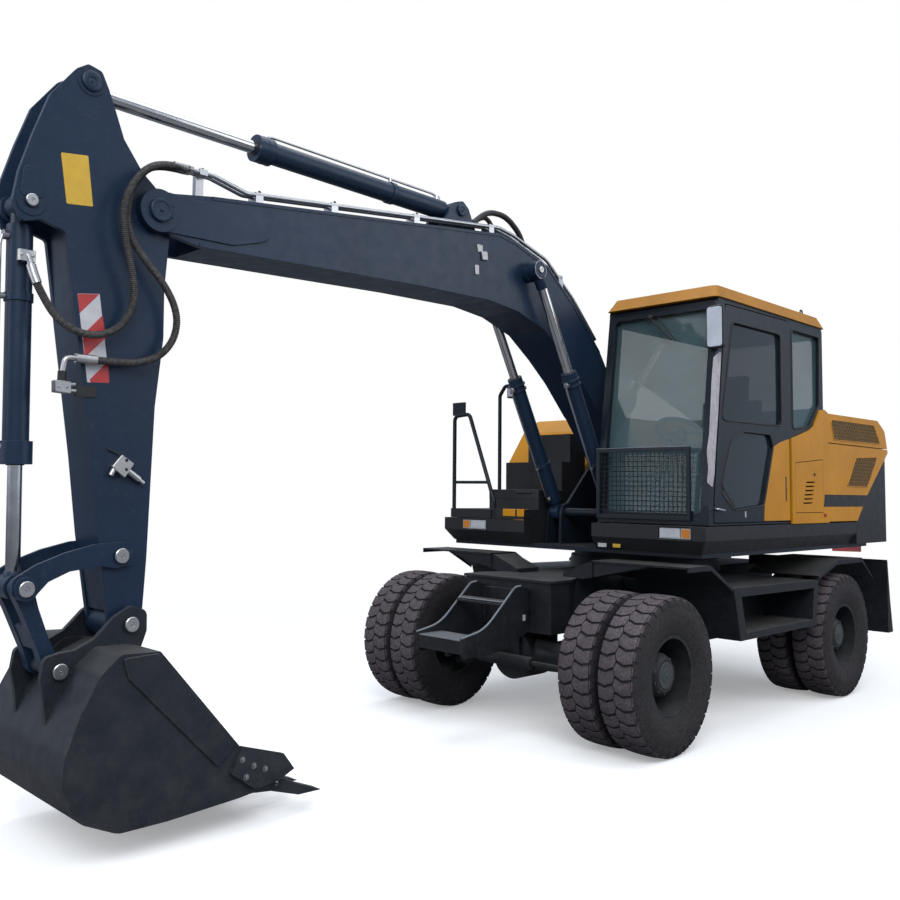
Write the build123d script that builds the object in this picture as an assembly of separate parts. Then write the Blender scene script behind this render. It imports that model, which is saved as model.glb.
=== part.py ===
"""A wheeled excavator of the 15 tonne class on twin tyres, in millimetres.

+X points forward, +Y to the cab's side, +Z up, and the tyres stand on Z = 0.
Lengths along X are written from the slewing axis, and heights from a ground AXLE_Z below
the axles. The last step shifts both, so that the origin lies under the middle of the machine's
whole box and the tyres stand on the ground.
"""
from build123d import *
import math
import os

# Frame and slewing axis
SLEW_X = -1628.0

# Tyres and wheels
TYRE_R = 524.0
AXLE_Z = 524.0
TYRE_W = 278.0
TREAD_W = 232.0
RIM_R = 256.0
RIM_W = 214.0
RIM_WALL = 9.0
TWIN_PITCH = 310.0
OUTER_FACE_Y = 1255.0
HUB_R = 142.0
HUB_END_Y = 1176.0
SPINDLE_R = 60.0
SPINDLE_END_Y = 1045.0
BEARING_GAP = 1.0
SEAT_GAP = 0.3

# Axles
FRONT_AXLE_X = 1650.0
REAR_AXLE_X = -1200.0
AXLE_R = 92.0
DIFF_R = 180.0
KINGPIN_Y = 610.0
KINGPIN_R = 34.0
PIPE_Y = (112.0, 158.0)
PIPE_TIP_Y = (152.0, 196.0)
PIPE_R = 13.0
PIPE_LIFT = 46.0
HOSE_R = 20.0
HOSE_ARC_SHARE = 0.45
HOSE_START_X = 4720.0
HOSE_START_Z = 3395.0
STEER_ANGLE = 28.0
STEER_LEVER = 220.0
STEER_ROD_R = 21.0

# Chassis
CHASSIS_HALF_W = 330.0
CHASSIS_FRONT_X = 1860.0
CHASSIS_REAR_X = -1790.0
CHASSIS_BOTTOM_Z = 712.0
CHASSIS_TOP_Z = 1085.0
FRONT_HEAD_HALF_W = 402.0
RING_R = 590.0
RING_TOP_Z = 1262.0
FENDER_TOP_Z = 1243.0
FENDER_SHEET = 14.0
FENDER_INNER_Y = 640.0
SIDE_Y = 1250.0

# Upper structure
UPPER_SIDE_Y = 1240.0
CAB_SIDE_Y = 1236.0
COVER_Y = 1252.0
DECK_BOTTOM_Z = 1266.0
DECK_SHEET = 34.0
SKIRT_TOP_Z = 1496.0
SKIRT_BREAK_Z = 1392.0
SKIRT_BOTTOM_Z = 1300.0
SKIRT_FRONT_X = 1248.0
TAIL_X = -2390.0
HOOD_TOP_Z = 2432.0
HOOD_SPLIT_Z = 2176.0
PANEL_T = 30.0
PANEL_GAP = 8.0
DOOR_REAR_EDGE = [(-1512.0, 1504.0), (-1636.0, 1622.0), (-1766.0, 1742.0), (-2194.0, 2064.0)]
HOOD_TAIL = (-2290.0, 2138.0)
CAB_DIVIDE_X = -862.0

# Cab
CAB_INNER_Y = 326.0
CAB_WALL = 44.0
CAB_FLOOR_Z = 1500.0
CAB_REAR_X = -808.0
CAB_TOP_Z = 3140.0
ROOF_TOP_Z = 3234.0
DOOR_REAR_X = -140.0
GLASS_T = 6.0
GLASS_GAP = 0.3

# Boom, arm and bucket: pins as X and Z, half widths along Y
BOOM_FOOT = (420.0, 2000.0)
BOOM_TIP = (4873.0, 3142.0)
BOOM_HALF_W = 170.0
BOOM_FORK_GAP = 136.0
ARM_HALF_W = 130.0
ARM_EAR_T = 30.0
ARM_HEAD_PIN = (5244.0, 3724.0)
BUCKET_CYLINDER_PIN = (5520.0, 3058.0)
BUCKET_PIN = (4972.0, 1038.0)
ARM_LINK_PIN = (5018.0, 1373.0)
LINK_PIN = (5487.0, 1238.0)
BUCKET_LINK_PIN = (5327.0, 851.0)
BOOM_CYLINDER_FOOT = (880.0, 1560.0)
BOOM_CYLINDER_EYE = (1850.0, 3345.0)
BOOM_CYLINDER_Y = 262.0
ARM_CYLINDER_FOOT = (2494.0, 3686.0)
BUCKET_HALF_W = 470.0
BUCKET_SHEET = 22.0
BUCKET_EAR_Y = 190.0
BUCKET_EAR_T = 30.0
SIDE_LINK_T = 20.0
PIN_R = 34.0
PIN_GAP = 0.6


def block(x_range, y_range, z_range):
    """A plain block from its low and high corner on each axis."""
    size = [high - low for low, high in (x_range, y_range, z_range)]
    middle = [(high + low) / 2 for low, high in (x_range, y_range, z_range)]
    return Pos(*middle) * Box(*size)


def outline(points, radii=0.0):
    """A closed run of lines through 3D points, with each corner rounded by its radius."""
    return make_face(FilletPolyline(*points, radius=radii, close=True))


def side_plate(points, y_range, radii=0.0):
    """A plate cut to an outline in X and Z, standing between two Y values."""
    face = outline([(x, y_range[0], z) for x, z in points], radii)
    return extrude(face, y_range[1] - y_range[0], dir=(0, 1, 0))


def flat_plate(points, z_range, radii=0.0):
    """A plate cut to an outline in X and Y, lying between two Z values."""
    face = outline([(x, y, z_range[0]) for x, y in points], radii)
    return extrude(face, z_range[1] - z_range[0], dir=(0, 0, 1))


def cross_plate(points, x_range, radii=0.0):
    """A plate cut to an outline in Y and Z, standing between two X values."""
    face = outline([(x_range[0], y, z) for y, z in points], radii)
    return extrude(face, x_range[1] - x_range[0], dir=(1, 0, 0))


def bar_y(pin, radius, y_range):
    """A round bar along Y at a pin given by X and Z."""
    face = Plane((pin[0], y_range[0], pin[1]), z_dir=(0, 1, 0)) * Circle(radius)
    return extrude(face, y_range[1] - y_range[0])


def bar_z(x, y, radius, z_range):
    """A round bar along Z."""
    return extrude(Plane((x, y, z_range[0])) * Circle(radius), z_range[1] - z_range[0])


def bar_between(start, end, radius):
    """A round bar between two 3D points."""
    axis = Vector(*end) - Vector(*start)
    return extrude(Plane(start, z_dir=axis) * Circle(radius), axis.length)


def tube_along(points, radius, bend):
    """A round bar along a route with rounded bends."""
    path = FilletPolyline(*points, radius=bend)
    return sweep(Plane(path @ 0, z_dir=path % 0) * Circle(radius), path=path)


def mirrored(part):
    """The same part on the other side of the machine."""
    return mirror(part, about=Plane.XZ)


def both(part):
    """A part and its twin on the other side."""
    return [part, mirrored(part)]


def turned_on_wheel_axis(points, x):
    """A ring from an outline in Y and radius, turned about a wheel's axle line."""
    face = make_face(Polyline(*[(x, y, AXLE_Z + r) for y, r in points], close=True))
    return revolve(face, Axis((x, 0, AXLE_Z), (0, 1, 0)))


# Wheels

def tyre(x, y):
    """One tyre with rounded shoulders and a bulged side wall."""
    half = [
        (RIM_W / 2 - 20.3, RIM_R + SEAT_GAP),
        (RIM_W / 2 - 20.3, RIM_R + 25),
        (TYRE_W / 2 - 10, RIM_R + 62),
        (TYRE_W / 2, RIM_R + 134),
        (TYRE_W / 2 - 4, TYRE_R - 62),
        (TREAD_W / 2, TYRE_R - 10),
        (TREAD_W / 2 - 26, TYRE_R),
    ]
    points = [(y + w, r) for w, r in half] + [(y - w, r) for w, r in reversed(half)]
    return turned_on_wheel_axis(points, x)


def twin_centres(side):
    """The middle planes of a side's outer and inner tyre."""
    outer = OUTER_FACE_Y - TYRE_W / 2
    return side * outer, side * (outer - TWIN_PITCH)


def rim(x, side):
    """Two rim barrels on one disc, with the hub that carries them."""
    outer, inner = twin_centres(1)
    middle = (outer + inner) / 2
    flange = 20.0
    disc_half = 9.0
    bowl = RIM_R - RIM_WALL
    edges = [
        (inner - RIM_W / 2, RIM_R + flange),
        (inner - RIM_W / 2, bowl),
        (middle - disc_half, bowl),
        (middle - disc_half, HUB_R - 30),
        (SPINDLE_END_Y - 140, HUB_R - 30),
        (SPINDLE_END_Y - 140, SPINDLE_R + BEARING_GAP),
        (SPINDLE_END_Y + 6, SPINDLE_R + BEARING_GAP),
        (SPINDLE_END_Y + 6, 0),
        (HUB_END_Y, 0),
        (HUB_END_Y, HUB_R - 34),
        (HUB_END_Y - 14, HUB_R - 18),
        (HUB_END_Y - 40, HUB_R),
        (middle + disc_half, HUB_R + 8),
        (middle + disc_half, bowl),
        (outer + RIM_W / 2, bowl),
        (outer + RIM_W / 2, RIM_R + flange),
        (outer + RIM_W / 2 - 12, RIM_R + flange),
        (outer + RIM_W / 2 - 20, RIM_R),
        (outer - RIM_W / 2 + 8, RIM_R),
        (outer - RIM_W / 2, RIM_R + flange - 4),
        (inner + RIM_W / 2, RIM_R + flange - 4),
        (inner + RIM_W / 2 - 8, RIM_R),
        (inner - RIM_W / 2 + 20, RIM_R),
        (inner - RIM_W / 2 + 12, RIM_R + flange),
    ]
    face = make_face(Polyline(*[(x, y, AXLE_Z + r) for y, r in edges], close=True))
    wheel = revolve(face, Axis((x, 0, AXLE_Z), (0, 1, 0)))
    return wheel if side > 0 else mirrored(wheel)


# Axles and steering

def spindle(x):
    """The stub that a left wheel turns on, with its brake flange."""
    drum = bar_y((x, AXLE_Z), HUB_R - 34, (KINGPIN_Y + 62, SPINDLE_END_Y - 146))
    stub = bar_y((x, AXLE_Z), SPINDLE_R, (KINGPIN_Y + 62, SPINDLE_END_Y))
    return drum + stub


def axle_beam(x, end_y):
    """A banjo axle: differential case and tapering arms."""
    case = Plane((x - 150, 0, AXLE_Z), z_dir=(1, 0, 0)) * Circle(DIFF_R)
    case = extrude(case, 300)
    nose = Plane((x - 150, 0, AXLE_Z), z_dir=(-1, 0, 0)) * Circle(DIFF_R - 60)
    case += extrude(nose, 120, taper=12)
    arm = Plane((x, 0, AXLE_Z), z_dir=(0, 1, 0)) * Circle(AXLE_R + 34)
    arm = extrude(arm, end_y, taper=math.degrees(math.atan(34 / end_y)))
    return case + arm + mirrored(arm)


def front_axle():
    """The steered axle: beam, kingpin forks, pivot lugs and steering cylinder."""
    x = FRONT_AXLE_X
    reach = KINGPIN_Y + 44
    beam = axle_beam(x, KINGPIN_Y - 74)
    fork = [
        (KINGPIN_Y - 84, AXLE_Z - 92), (KINGPIN_Y - 84, AXLE_Z - 158), (reach, AXLE_Z - 158),
        (reach, AXLE_Z - 118), (KINGPIN_Y - 50, AXLE_Z - 112), (KINGPIN_Y - 50, AXLE_Z + 112),
        (reach, AXLE_Z + 118), (reach, AXLE_Z + 158), (KINGPIN_Y - 84, AXLE_Z + 158),
        (KINGPIN_Y - 84, AXLE_Z + 92),
    ]
    left = cross_plate(fork, (x - 52, x + 52))
    lug_z = (AXLE_Z - 60, CHASSIS_BOTTOM_Z)
    lugs = block((x - 290, x - 262), (-90, 90), lug_z) + block((x + 152, x + 176), (-90, 90), lug_z)
    pivot = Plane((x - 290, 0, AXLE_Z), z_dir=(1, 0, 0)) * Circle(58)
    pivot = extrude(pivot, 466)
    cylinder_x = x + STEER_LEVER
    barrel = bar_y((cylinder_x, AXLE_Z - 30), 46, (-250, 250))
    barrel -= bar_y((cylinder_x, AXLE_Z - 30), STEER_ROD_R + BEARING_GAP, (-260, 260))
    saddle = block((x + 100, cylinder_x - 30), (-120, 120), (AXLE_Z - 60, AXLE_Z))
    saddle -= bar_y((cylinder_x, AXLE_Z - 30), 44, (-140, 140))
    return beam + left + mirrored(left) + pivot + lugs + barrel + saddle


def tie_rods():
    """The double steering rod with its two flat eyes, above the levers of the knuckles."""
    x = FRONT_AXLE_X + STEER_LEVER
    end_y = KINGPIN_Y - 50
    rod = bar_y((x, AXLE_Z - 30), STEER_ROD_R, (-end_y + 30, end_y - 30))
    eye = bar_z(x, end_y, 34, (AXLE_Z - 54, AXLE_Z - 6))
    return rod + eye + mirrored(eye)


def knuckle():
    """The left steering knuckle with its spindle and lever."""
    x = FRONT_AXLE_X
    body = bar_z(x, KINGPIN_Y, 46, (AXLE_Z - 110, AXLE_Z + 110))
    body += block((x - 60, x + 60), (KINGPIN_Y, KINGPIN_Y + 70), (AXLE_Z - 90, AXLE_Z + 90))
    lever_z = (AXLE_Z - 84, AXLE_Z - 58)
    lever = flat_plate(
        [(x + 10, KINGPIN_Y + 4), (x + 74, KINGPIN_Y - 6), (x + STEER_LEVER + 34, KINGPIN_Y - 80),
         (x + STEER_LEVER + 34, KINGPIN_Y - 20), (x + 90, KINGPIN_Y + 44), (x + 10, KINGPIN_Y + 44)],
        lever_z, [0, 20, 24, 24, 20, 0])
    return body + spindle(x) + lever


def rear_axle():
    """The fixed driven axle with its gearbox and the shaft to the front axle."""
    x = REAR_AXLE_X
    beam = axle_beam(x, KINGPIN_Y + 64)
    stub = spindle(x)
    seats = both(block((x - 110, x + 110), (210, 300), (AXLE_Z + 60, CHASSIS_BOTTOM_Z)))
    gearbox = block((x + 140, x + 430), (-150, 150), (AXLE_Z - 130, AXLE_Z + 150))
    gearbox = fillet(gearbox.edges().filter_by(Axis.Z), 40)
    front_end = FRONT_AXLE_X - 296
    shaft = bar_between((x + 430, 0, AXLE_Z - 10), (front_end, 0, AXLE_Z - 2), 38)
    yokes = bar_between((x + 430, 0, AXLE_Z - 10), (x + 520, 0, AXLE_Z - 10), 66)
    return beam + stub + mirrored(stub) + seats[0] + seats[1] + gearbox + shaft + yokes


# Chassis

def chassis_frame():
    """The box frame with its front head, turret and lower slewing ring."""
    frame = block((CHASSIS_REAR_X, 1560), (-CHASSIS_HALF_W, CHASSIS_HALF_W),
                  (CHASSIS_BOTTOM_Z, CHASSIS_TOP_Z))
    head = flat_plate(
        [(1480, -CHASSIS_HALF_W), (1640, -FRONT_HEAD_HALF_W), (CHASSIS_FRONT_X, -FRONT_HEAD_HALF_W),
         (CHASSIS_FRONT_X, FRONT_HEAD_HALF_W), (1640, FRONT_HEAD_HALF_W), (1480, CHASSIS_HALF_W)],
        (CHASSIS_BOTTOM_Z, CHASSIS_TOP_Z))
    turret = Plane((0, 0, CHASSIS_TOP_Z)) * Circle(RING_R + 44)
    turret = extrude(turret, 100, taper=8)
    ring = Plane((0, 0, CHASSIS_TOP_Z + 60)) * Circle(RING_R)
    ring = extrude(ring, RING_TOP_Z - CHASSIS_TOP_Z - 60)
    return frame + head + turret + ring


def front_steps():
    """The ladder ahead of the chassis: two stringers and three treads."""
    stringer = [
        (CHASSIS_FRONT_X, 1010), (2020, 1040), (2089, 1012), (2282, 847), (2577, 733), (2565, 607),
        (2282, 595), (CHASSIS_FRONT_X, 720),
    ]
    out = 216.0
    steps = side_plate(stringer, (out - 16, out)) + side_plate(stringer, (-out, -out + 16))
    treads = ((2400, 2560, 640), (2160, 2290, 790), (1940, 2090, 960))
    for low, high, z in treads:
        steps += block((low, high), (-out + 16, out - 16), (z, z + 16))
    return steps + block((CHASSIS_FRONT_X, CHASSIS_FRONT_X + 14), (-out, out), (740, 1010))


def side_step_box():
    """The left box between the wheels, with its open recess and step."""
    front_x = FRONT_AXLE_X - TYRE_R - 281
    rear_x = REAR_AXLE_X + TYRE_R + 54
    shell = side_plate([(front_x, 1049), (front_x - 100, 666), (rear_x + 60, 666), (rear_x, 1028)],
                       (CHASSIS_HALF_W, SIDE_Y))
    recess = [(front_x - 117, 982), (front_x - 185, 718), (rear_x + 130, 718), (rear_x + 90, 968)]
    shell -= side_plate(recess, (SIDE_Y - 420, SIDE_Y + 1))
    return shell


def fenders():
    """The four fenders: bent sheets with inner walls, and flaps behind the rear wheels."""
    front_line = [
        (2066, FENDER_TOP_Z), (1180, FENDER_TOP_Z), (868, 1060),
        (868 + 8, 1060 - 12), (1186, FENDER_TOP_Z - FENDER_SHEET), (2066, FENDER_TOP_Z - FENDER_SHEET),
    ]
    front = side_plate(front_line, (FENDER_INNER_Y, SIDE_Y))
    front += side_plate(
        [(2000, FENDER_TOP_Z - 4), (1180, FENDER_TOP_Z - 4), (872, 1056), (872, 1062), (1990, 1085)],
        (FENDER_INNER_Y, FENDER_INNER_Y + 10))
    lip = side_plate(
        [(2066, FENDER_TOP_Z), (1180, FENDER_TOP_Z), (868, 1060), (860, 1030), (1172, FENDER_TOP_Z - 40),
         (2066, FENDER_TOP_Z - 40)], (SIDE_Y - 8, SIDE_Y))
    front += lip
    front += block((1180, 1300), (CHASSIS_HALF_W, FENDER_INNER_Y), (1085, 1120))
    front += block((1300, 1330), (CHASSIS_HALF_W, FENDER_INNER_Y + 5), (1020, FENDER_TOP_Z - 8))
    top = 1176.0
    rear_line = [
        (-640, 1060), (-1010, top), (-1560, top), (-1800, 1000), (-1790, 992),
        (-1556, top - FENDER_SHEET), (-1014, top - FENDER_SHEET), (-650, 1050),
    ]
    rear = side_plate(rear_line, (FENDER_INNER_Y, SIDE_Y))
    rear += side_plate(
        [(-640, 1060), (-1010, top), (-1560, top), (-1800, 1000), (-1822, 980), (-1572, top - 40),
         (-1006, top - 40), (-630, 1030)], (SIDE_Y - 8, SIDE_Y))
    rear += block((-1330, -1300), (CHASSIS_HALF_W, FENDER_INNER_Y + 10), (1075, top - 6))
    return front, rear


def rear_flap():
    """The left flap at the tail with its flange, hung from a bracket on the chassis."""
    x = CHASSIS_REAR_X - 400
    flap = block((x, x + 10), (FENDER_INNER_Y - 40, SIDE_Y), (454, 1130))
    flap += side_plate([(x, 1130), (x + 10, 1130), (x + 10, 454), (x - 110, 454), (x - 50, 760)],
                       (SIDE_Y - 8, SIDE_Y))
    return flap + block((x, CHASSIS_REAR_X), (CHASSIS_HALF_W - 40, FENDER_INNER_Y + 60), (1030, 1085))


# Upper structure

def upper_frame():
    """The slewing deck with the boom brackets and the cylinder feet."""
    half = UPPER_SIDE_Y - 70
    deck = flat_plate(
        [(1150, -half), (1150, half), (-1900, half), (-2200, half - 260), (-2200, -half + 260),
         (-1900, -half)], (DECK_BOTTOM_Z, DECK_BOTTOM_Z + DECK_SHEET))
    deck_top = DECK_BOTTOM_Z + DECK_SHEET
    foot_x, foot_z = BOOM_FOOT
    pin_x, pin_z = BOOM_CYLINDER_FOOT
    bracket = [
        (-420, deck_top - 5), (960, deck_top - 5), (pin_x + 72, pin_z - 20), (pin_x + 50, pin_z + 56),
        (pin_x - 20, pin_z + 76), (foot_x + 128, foot_z - 60), (foot_x + 110, foot_z + 100),
        (foot_x, foot_z + 138), (foot_x - 120, foot_z + 90), (foot_x - 160, foot_z - 40), (-120, 1560),
    ]
    rounding = [0, 0, 30, 30, 30, 60, 60, 60, 60, 60, 60]
    inner_y = BOOM_HALF_W + 6
    frame = deck
    for low, high in ((inner_y, inner_y + 24), (-inner_y - 24, -inner_y)):
        frame += side_plate(bracket, (low, high), rounding)
    ear = [(pin_x - 120, deck_top - 5), (pin_x + 110, deck_top - 5), (pin_x + 72, pin_z + 10),
           (pin_x + 30, pin_z + 70), (pin_x - 30, pin_z + 70), (pin_x - 72, pin_z + 10)]
    ear_y = BOOM_CYLINDER_Y + 42
    for low, high in ((ear_y, ear_y + 14), (-ear_y - 14, -ear_y)):
        frame += side_plate(ear, (low, high), [0, 0, 20, 26, 26, 20])
    # Four mounts under the cab's floor
    for x in (-640, 960):
        for y in (CAB_INNER_Y + 110, UPPER_SIDE_Y - 150):
            frame += block((x - 55, x + 55), (y - 55, y + 55), (deck_top - 5, CAB_FLOOR_Z))
    frame += block((-40, 0), (-inner_y - 5, inner_y + 5), (deck_top - 5, 1590))
    for pin, reach in ((BOOM_FOOT, inner_y + 42), (BOOM_CYLINDER_FOOT, ear_y + 17)):
        frame += bar_y(pin, PIN_R, (-reach, reach))
    return frame


def counterweight():
    """The cast tail weight, rounded at its corners and sloped at its front."""
    side = UPPER_SIDE_Y
    plan = [(-1480, -side), (-1480, side), (TAIL_X + 40, side), (TAIL_X + 40, -side)]
    body = flat_plate(plan, (DECK_BOTTOM_Z + DECK_SHEET, 2120), [0, 0, 170, 170])
    edge = [(x - PANEL_GAP, z) for x, z in DOOR_REAR_EDGE + [HOOD_TAIL]]
    front_cut = [(-1400, 2200), (edge[-1][0], 2200)] + list(reversed(edge)) + [(-1400, edge[0][1])]
    body -= side_plate(front_cut, (-side - 5, side + 5))
    # The engine reaches into the weight's hollow front
    return body - block((-2020, -1400), (-side + 100, side - 100), (DECK_BOTTOM_Z, 2200))


def skirt_ring(z_low, z_high, inset_low, inset_high):
    """One course of the skirt round the deck, as a frustum of the plan outline."""
    def plan(z, inset):
        side = UPPER_SIDE_Y - inset
        front, rear = SKIRT_FRONT_X - inset, TAIL_X + 60 + inset
        return outline([(front, -side, z), (front, side, z), (rear, side, z), (rear, -side, z)],
                       [40, 40, 150, 150])
    return loft([plan(z_low, inset_low), plan(z_high, inset_high)])


def lower_skirts():
    """The skirt below the cab and the panels: an upright course over a sloped one."""
    skirt = skirt_ring(SKIRT_BREAK_Z, SKIRT_TOP_Z - 4, 0, 0) + skirt_ring(SKIRT_BOTTOM_Z, SKIRT_BREAK_Z, 62, 0)
    wall = 30.0
    skirt -= flat_plate(
        [(SKIRT_FRONT_X - 95, -UPPER_SIDE_Y + 90 - wall / 3), (SKIRT_FRONT_X - 95, UPPER_SIDE_Y - 90 + wall / 3),
         (-1478, UPPER_SIDE_Y - 90 + wall / 3), (-1478, -UPPER_SIDE_Y + 90 - wall / 3)],
        (SKIRT_BOTTOM_Z - 5, SKIRT_TOP_Z + 5))
    # The tail weight starts where the skirt ends, and the boom stands between its front halves
    skirt -= block((TAIL_X, -1478), (-UPPER_SIDE_Y - 5, UPPER_SIDE_Y + 5), (SKIRT_BOTTOM_Z - 5, SKIRT_TOP_Z + 5))
    skirt -= block((900, SKIRT_FRONT_X + 5), (-330, CAB_INNER_Y - 6), (SKIRT_BOTTOM_Z - 5, SKIRT_TOP_Z + 5))
    # Lamp recesses in both front corners
    for y_low, y_high in ((890, 1140), (-1010, -740)):
        skirt -= block((SKIRT_FRONT_X - 60, SKIRT_FRONT_X + 5), (y_low, y_high), (1398, 1482))
    return skirt


def lamps():
    """Headlamp and indicator in each recess of the skirt."""
    made = []
    for y_low, y_high, split in ((894, 1136, 1058), (-1006, -744, -922)):
        x_range = (SKIRT_FRONT_X - 59.7, SKIRT_FRONT_X - 8)
        made.append(block(x_range, (y_low, split - 4), (1403, 1477)))
        made.append(block(x_range, (split + 4, y_high), (1403, 1477)))
    return made


def engine_block():
    """The engine as one plain block on the deck."""
    return block((-1780, -1000), (-420, 520), (1420, 2120)) + block(
        (-1700, -1100), (-350, 450), (DECK_BOTTOM_Z + DECK_SHEET, 1425))


def engine_hood():
    """The top cover with its side walls down to the split line, open below."""
    front_x = CAB_DIVIDE_X - PANEL_GAP
    top = [(front_x, HOOD_TOP_Z - 8), (-2040, HOOD_TOP_Z), (-2220, HOOD_TOP_Z - 90),
           (HOOD_TAIL[0] + 12, HOOD_SPLIT_Z), (front_x, HOOD_SPLIT_Z)]
    hood = side_plate(top, (-UPPER_SIDE_Y, UPPER_SIDE_Y), [10, 60, 60, 0, 5])
    inner = [(front_x - PANEL_T, HOOD_TOP_Z - 40), (-2030, HOOD_TOP_Z - 34), (-2190, HOOD_TOP_Z - 112),
             (-2238, 2160), (front_x - PANEL_T, 2160)]
    hood -= side_plate(inner, (-UPPER_SIDE_Y + PANEL_T, UPPER_SIDE_Y - PANEL_T))
    return hood


SIDE_DOOR = [(CAB_DIVIDE_X - PANEL_GAP, HOOD_SPLIT_Z - PANEL_GAP),
             (CAB_DIVIDE_X - PANEL_GAP, SKIRT_TOP_Z + PANEL_GAP)] + DOOR_REAR_EDGE + [
                 HOOD_TAIL, (HOOD_TAIL[0] + 9, HOOD_SPLIT_Z - PANEL_GAP)]


def side_door(side):
    """An engine door below the hood, with its upper edge on the split line."""
    door = side_plate(SIDE_DOOR, (UPPER_SIDE_Y - PANEL_T, UPPER_SIDE_Y))
    return door if side > 0 else mirrored(door)


def side_panels():
    """The fixed covers behind the cab door on the left and ahead of the engine on the right."""
    left = [(-148, SKIRT_TOP_Z), (-148, 2172), (-480, 2252), (-580, 2290), (-706, 2440),
            (-800, 2448), (CAB_DIVIDE_X, 2428), (CAB_DIVIDE_X, SKIRT_TOP_Z)]
    cover = side_plate(left, (CAB_SIDE_Y, COVER_Y), [0, 30, 60, 60, 30, 0, 0, 0])
    cover -= side_plate(HATCH_HOLE, (CAB_SIDE_Y - 5, COVER_Y + 5))
    right = [(372, SKIRT_TOP_Z), (372, 1960), (120, 2290), (-110, 2424), (CAB_DIVIDE_X, 2430),
             (CAB_DIVIDE_X, SKIRT_TOP_Z)]
    body = side_plate(right, (-UPPER_SIDE_Y, -340), [0, 60, 90, 90, 0, 0])
    inside = [(330, 1400), (330, 1940), (100, 2245), (-130, 2380), (-900, 2390), (-900, 1400)]
    body -= side_plate(inside, (-UPPER_SIDE_Y + PANEL_T, -340 - PANEL_T))
    return [cover, body]


HATCH_HOLE = [(-206.0, 1580.0), (-206.0, 1984.0), (-748.0, 2026.0), (-748.0, 1580.0)]


def filter_hatch():
    """The louvred hatch in the left cover."""
    hatch = side_plate([(-211, 1585), (-211, 1979), (-743, 2020), (-743, 1585)],
                       (CAB_SIDE_Y - 6, COVER_Y))
    for row in range(6):
        z = 1652 + row * 34
        slant = row * 12
        slot = [(-350 - slant, z), (-520 - slant, z + 4), (-520 - slant, z + 16), (-350 - slant, z + 12)]
        hatch -= side_plate(slot, (CAB_SIDE_Y - 10, COVER_Y + 5))
    return hatch


def right_boxes():
    """Tank, tool box and steps at the right front, one behind the other."""
    deck_top = DECK_BOTTOM_Z + DECK_SHEET
    made = block((700, SKIRT_FRONT_X - 6), (-1150, -692), (SKIRT_TOP_Z, 1572))
    made += block((760, SKIRT_FRONT_X - 10), (-648, -345), (SKIRT_TOP_Z, 1575))
    made += block((380, 1140), (-1120, -345), (deck_top, SKIRT_TOP_Z))
    made += block((700, 1040), (-880, -345), (1570, 1738))
    made += block((380, 720), (-960, -345), (SKIRT_TOP_Z, 1985))
    return made + block((380, 600), (-800, -345), (1980, 2230))


def rails_and_mirrors():
    """The right handrail, the tall lamp post and the mirrors."""
    x = SKIRT_FRONT_X - 24
    rail = tube_along([(x, -1128, 1572), (x, -1128, 2380), (x, -955, 2392), (x, -670, 1640), (x, -670, SKIRT_TOP_Z - 4)],
                      17, 45)
    rail += bar_between((x, -1122, 1800), (x, -725, 1800), 13)
    rail += block((x - 14, x + 4), (-1150, -1010), (2388, 2500))
    return rail


def cab_mirror():
    """The mirror on the cab's front pillar, with its bent stay."""
    stay = tube_along([(1062, CAB_SIDE_Y, 2700), (1075, 1262, 2700), (1075, 1262, 3010), (1040, CAB_SIDE_Y, 3040)],
                      9, 20)
    return stay + block((1060, 1094), (1190, 1316), (2700, 3008))


def lamp_post():
    """The tall post on the step box with its hooked top and work lamp."""
    post = tube_along([(1000, -800, 1738), (1000, -800, 2560), (1000, -740, 2640), (1000, -660, 2640)], 16, 40)
    return post + block((975, 1035), (-690, -570), (2530, 2626))


# Cab

CAB_SIDE = [(1172.0, CAB_FLOOR_Z), (1172.0, 1640.0), (1146.0, 2050.0), (1002.0, 3092.0), (1000.0, CAB_TOP_Z),
            (CAB_REAR_X, CAB_TOP_Z), (CAB_REAR_X, CAB_FLOOR_Z)]
DOOR_SIDE = [(1098.0, 1520.0), (1090.0, 1700.0), (902.0, 3098.0), (DOOR_REAR_X + 8, 3112.0),
             (DOOR_REAR_X + 8, 1520.0)]


def pane(points, y_low, radii):
    """A glass pane that fills an opening of the same outline but for a small gap."""
    face = offset(outline([(x, y_low, z) for x, z in points], radii), amount=-GLASS_GAP)
    return extrude(face, GLASS_T, dir=(0, 1, 0))


RIGHT_WINDOW = [(1010.0, 2040.0), (890.0, 3040.0), (-740.0, 3050.0), (-740.0, 2300.0), (-200.0, 2040.0)]
QUARTER_WINDOW = [(-206.0, 3060.0), (-206.0, 2250.0), (-520.0, 2286.0), (-720.0, 2480.0), (-740.0, 3060.0)]
DOOR_WINDOWS = (
    ([(976.0, 2250.0), (800.0, 2984.0), (8.0, 2990.0), (8.0, 2262.0)], 50.0),
    ([(830.0, 2112.0), (640.0, 2186.0), (210.0, 2186.0), (160.0, 2090.0), (330.0, 1640.0),
      (790.0, 1606.0), (985.0, 1780.0)], 40.0),
)
WINDOW_R = 40.0


def front_opening(inset):
    """Corners of the windscreen's opening in Y and Z, drawn in by a distance."""
    low, high = CAB_INNER_Y + 58 + inset, CAB_SIDE_Y - 58 - inset
    return [(low, 1580 + inset), (high, 1580 + inset), (high, 3060 - inset), (low, 3060 - inset)]


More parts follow.
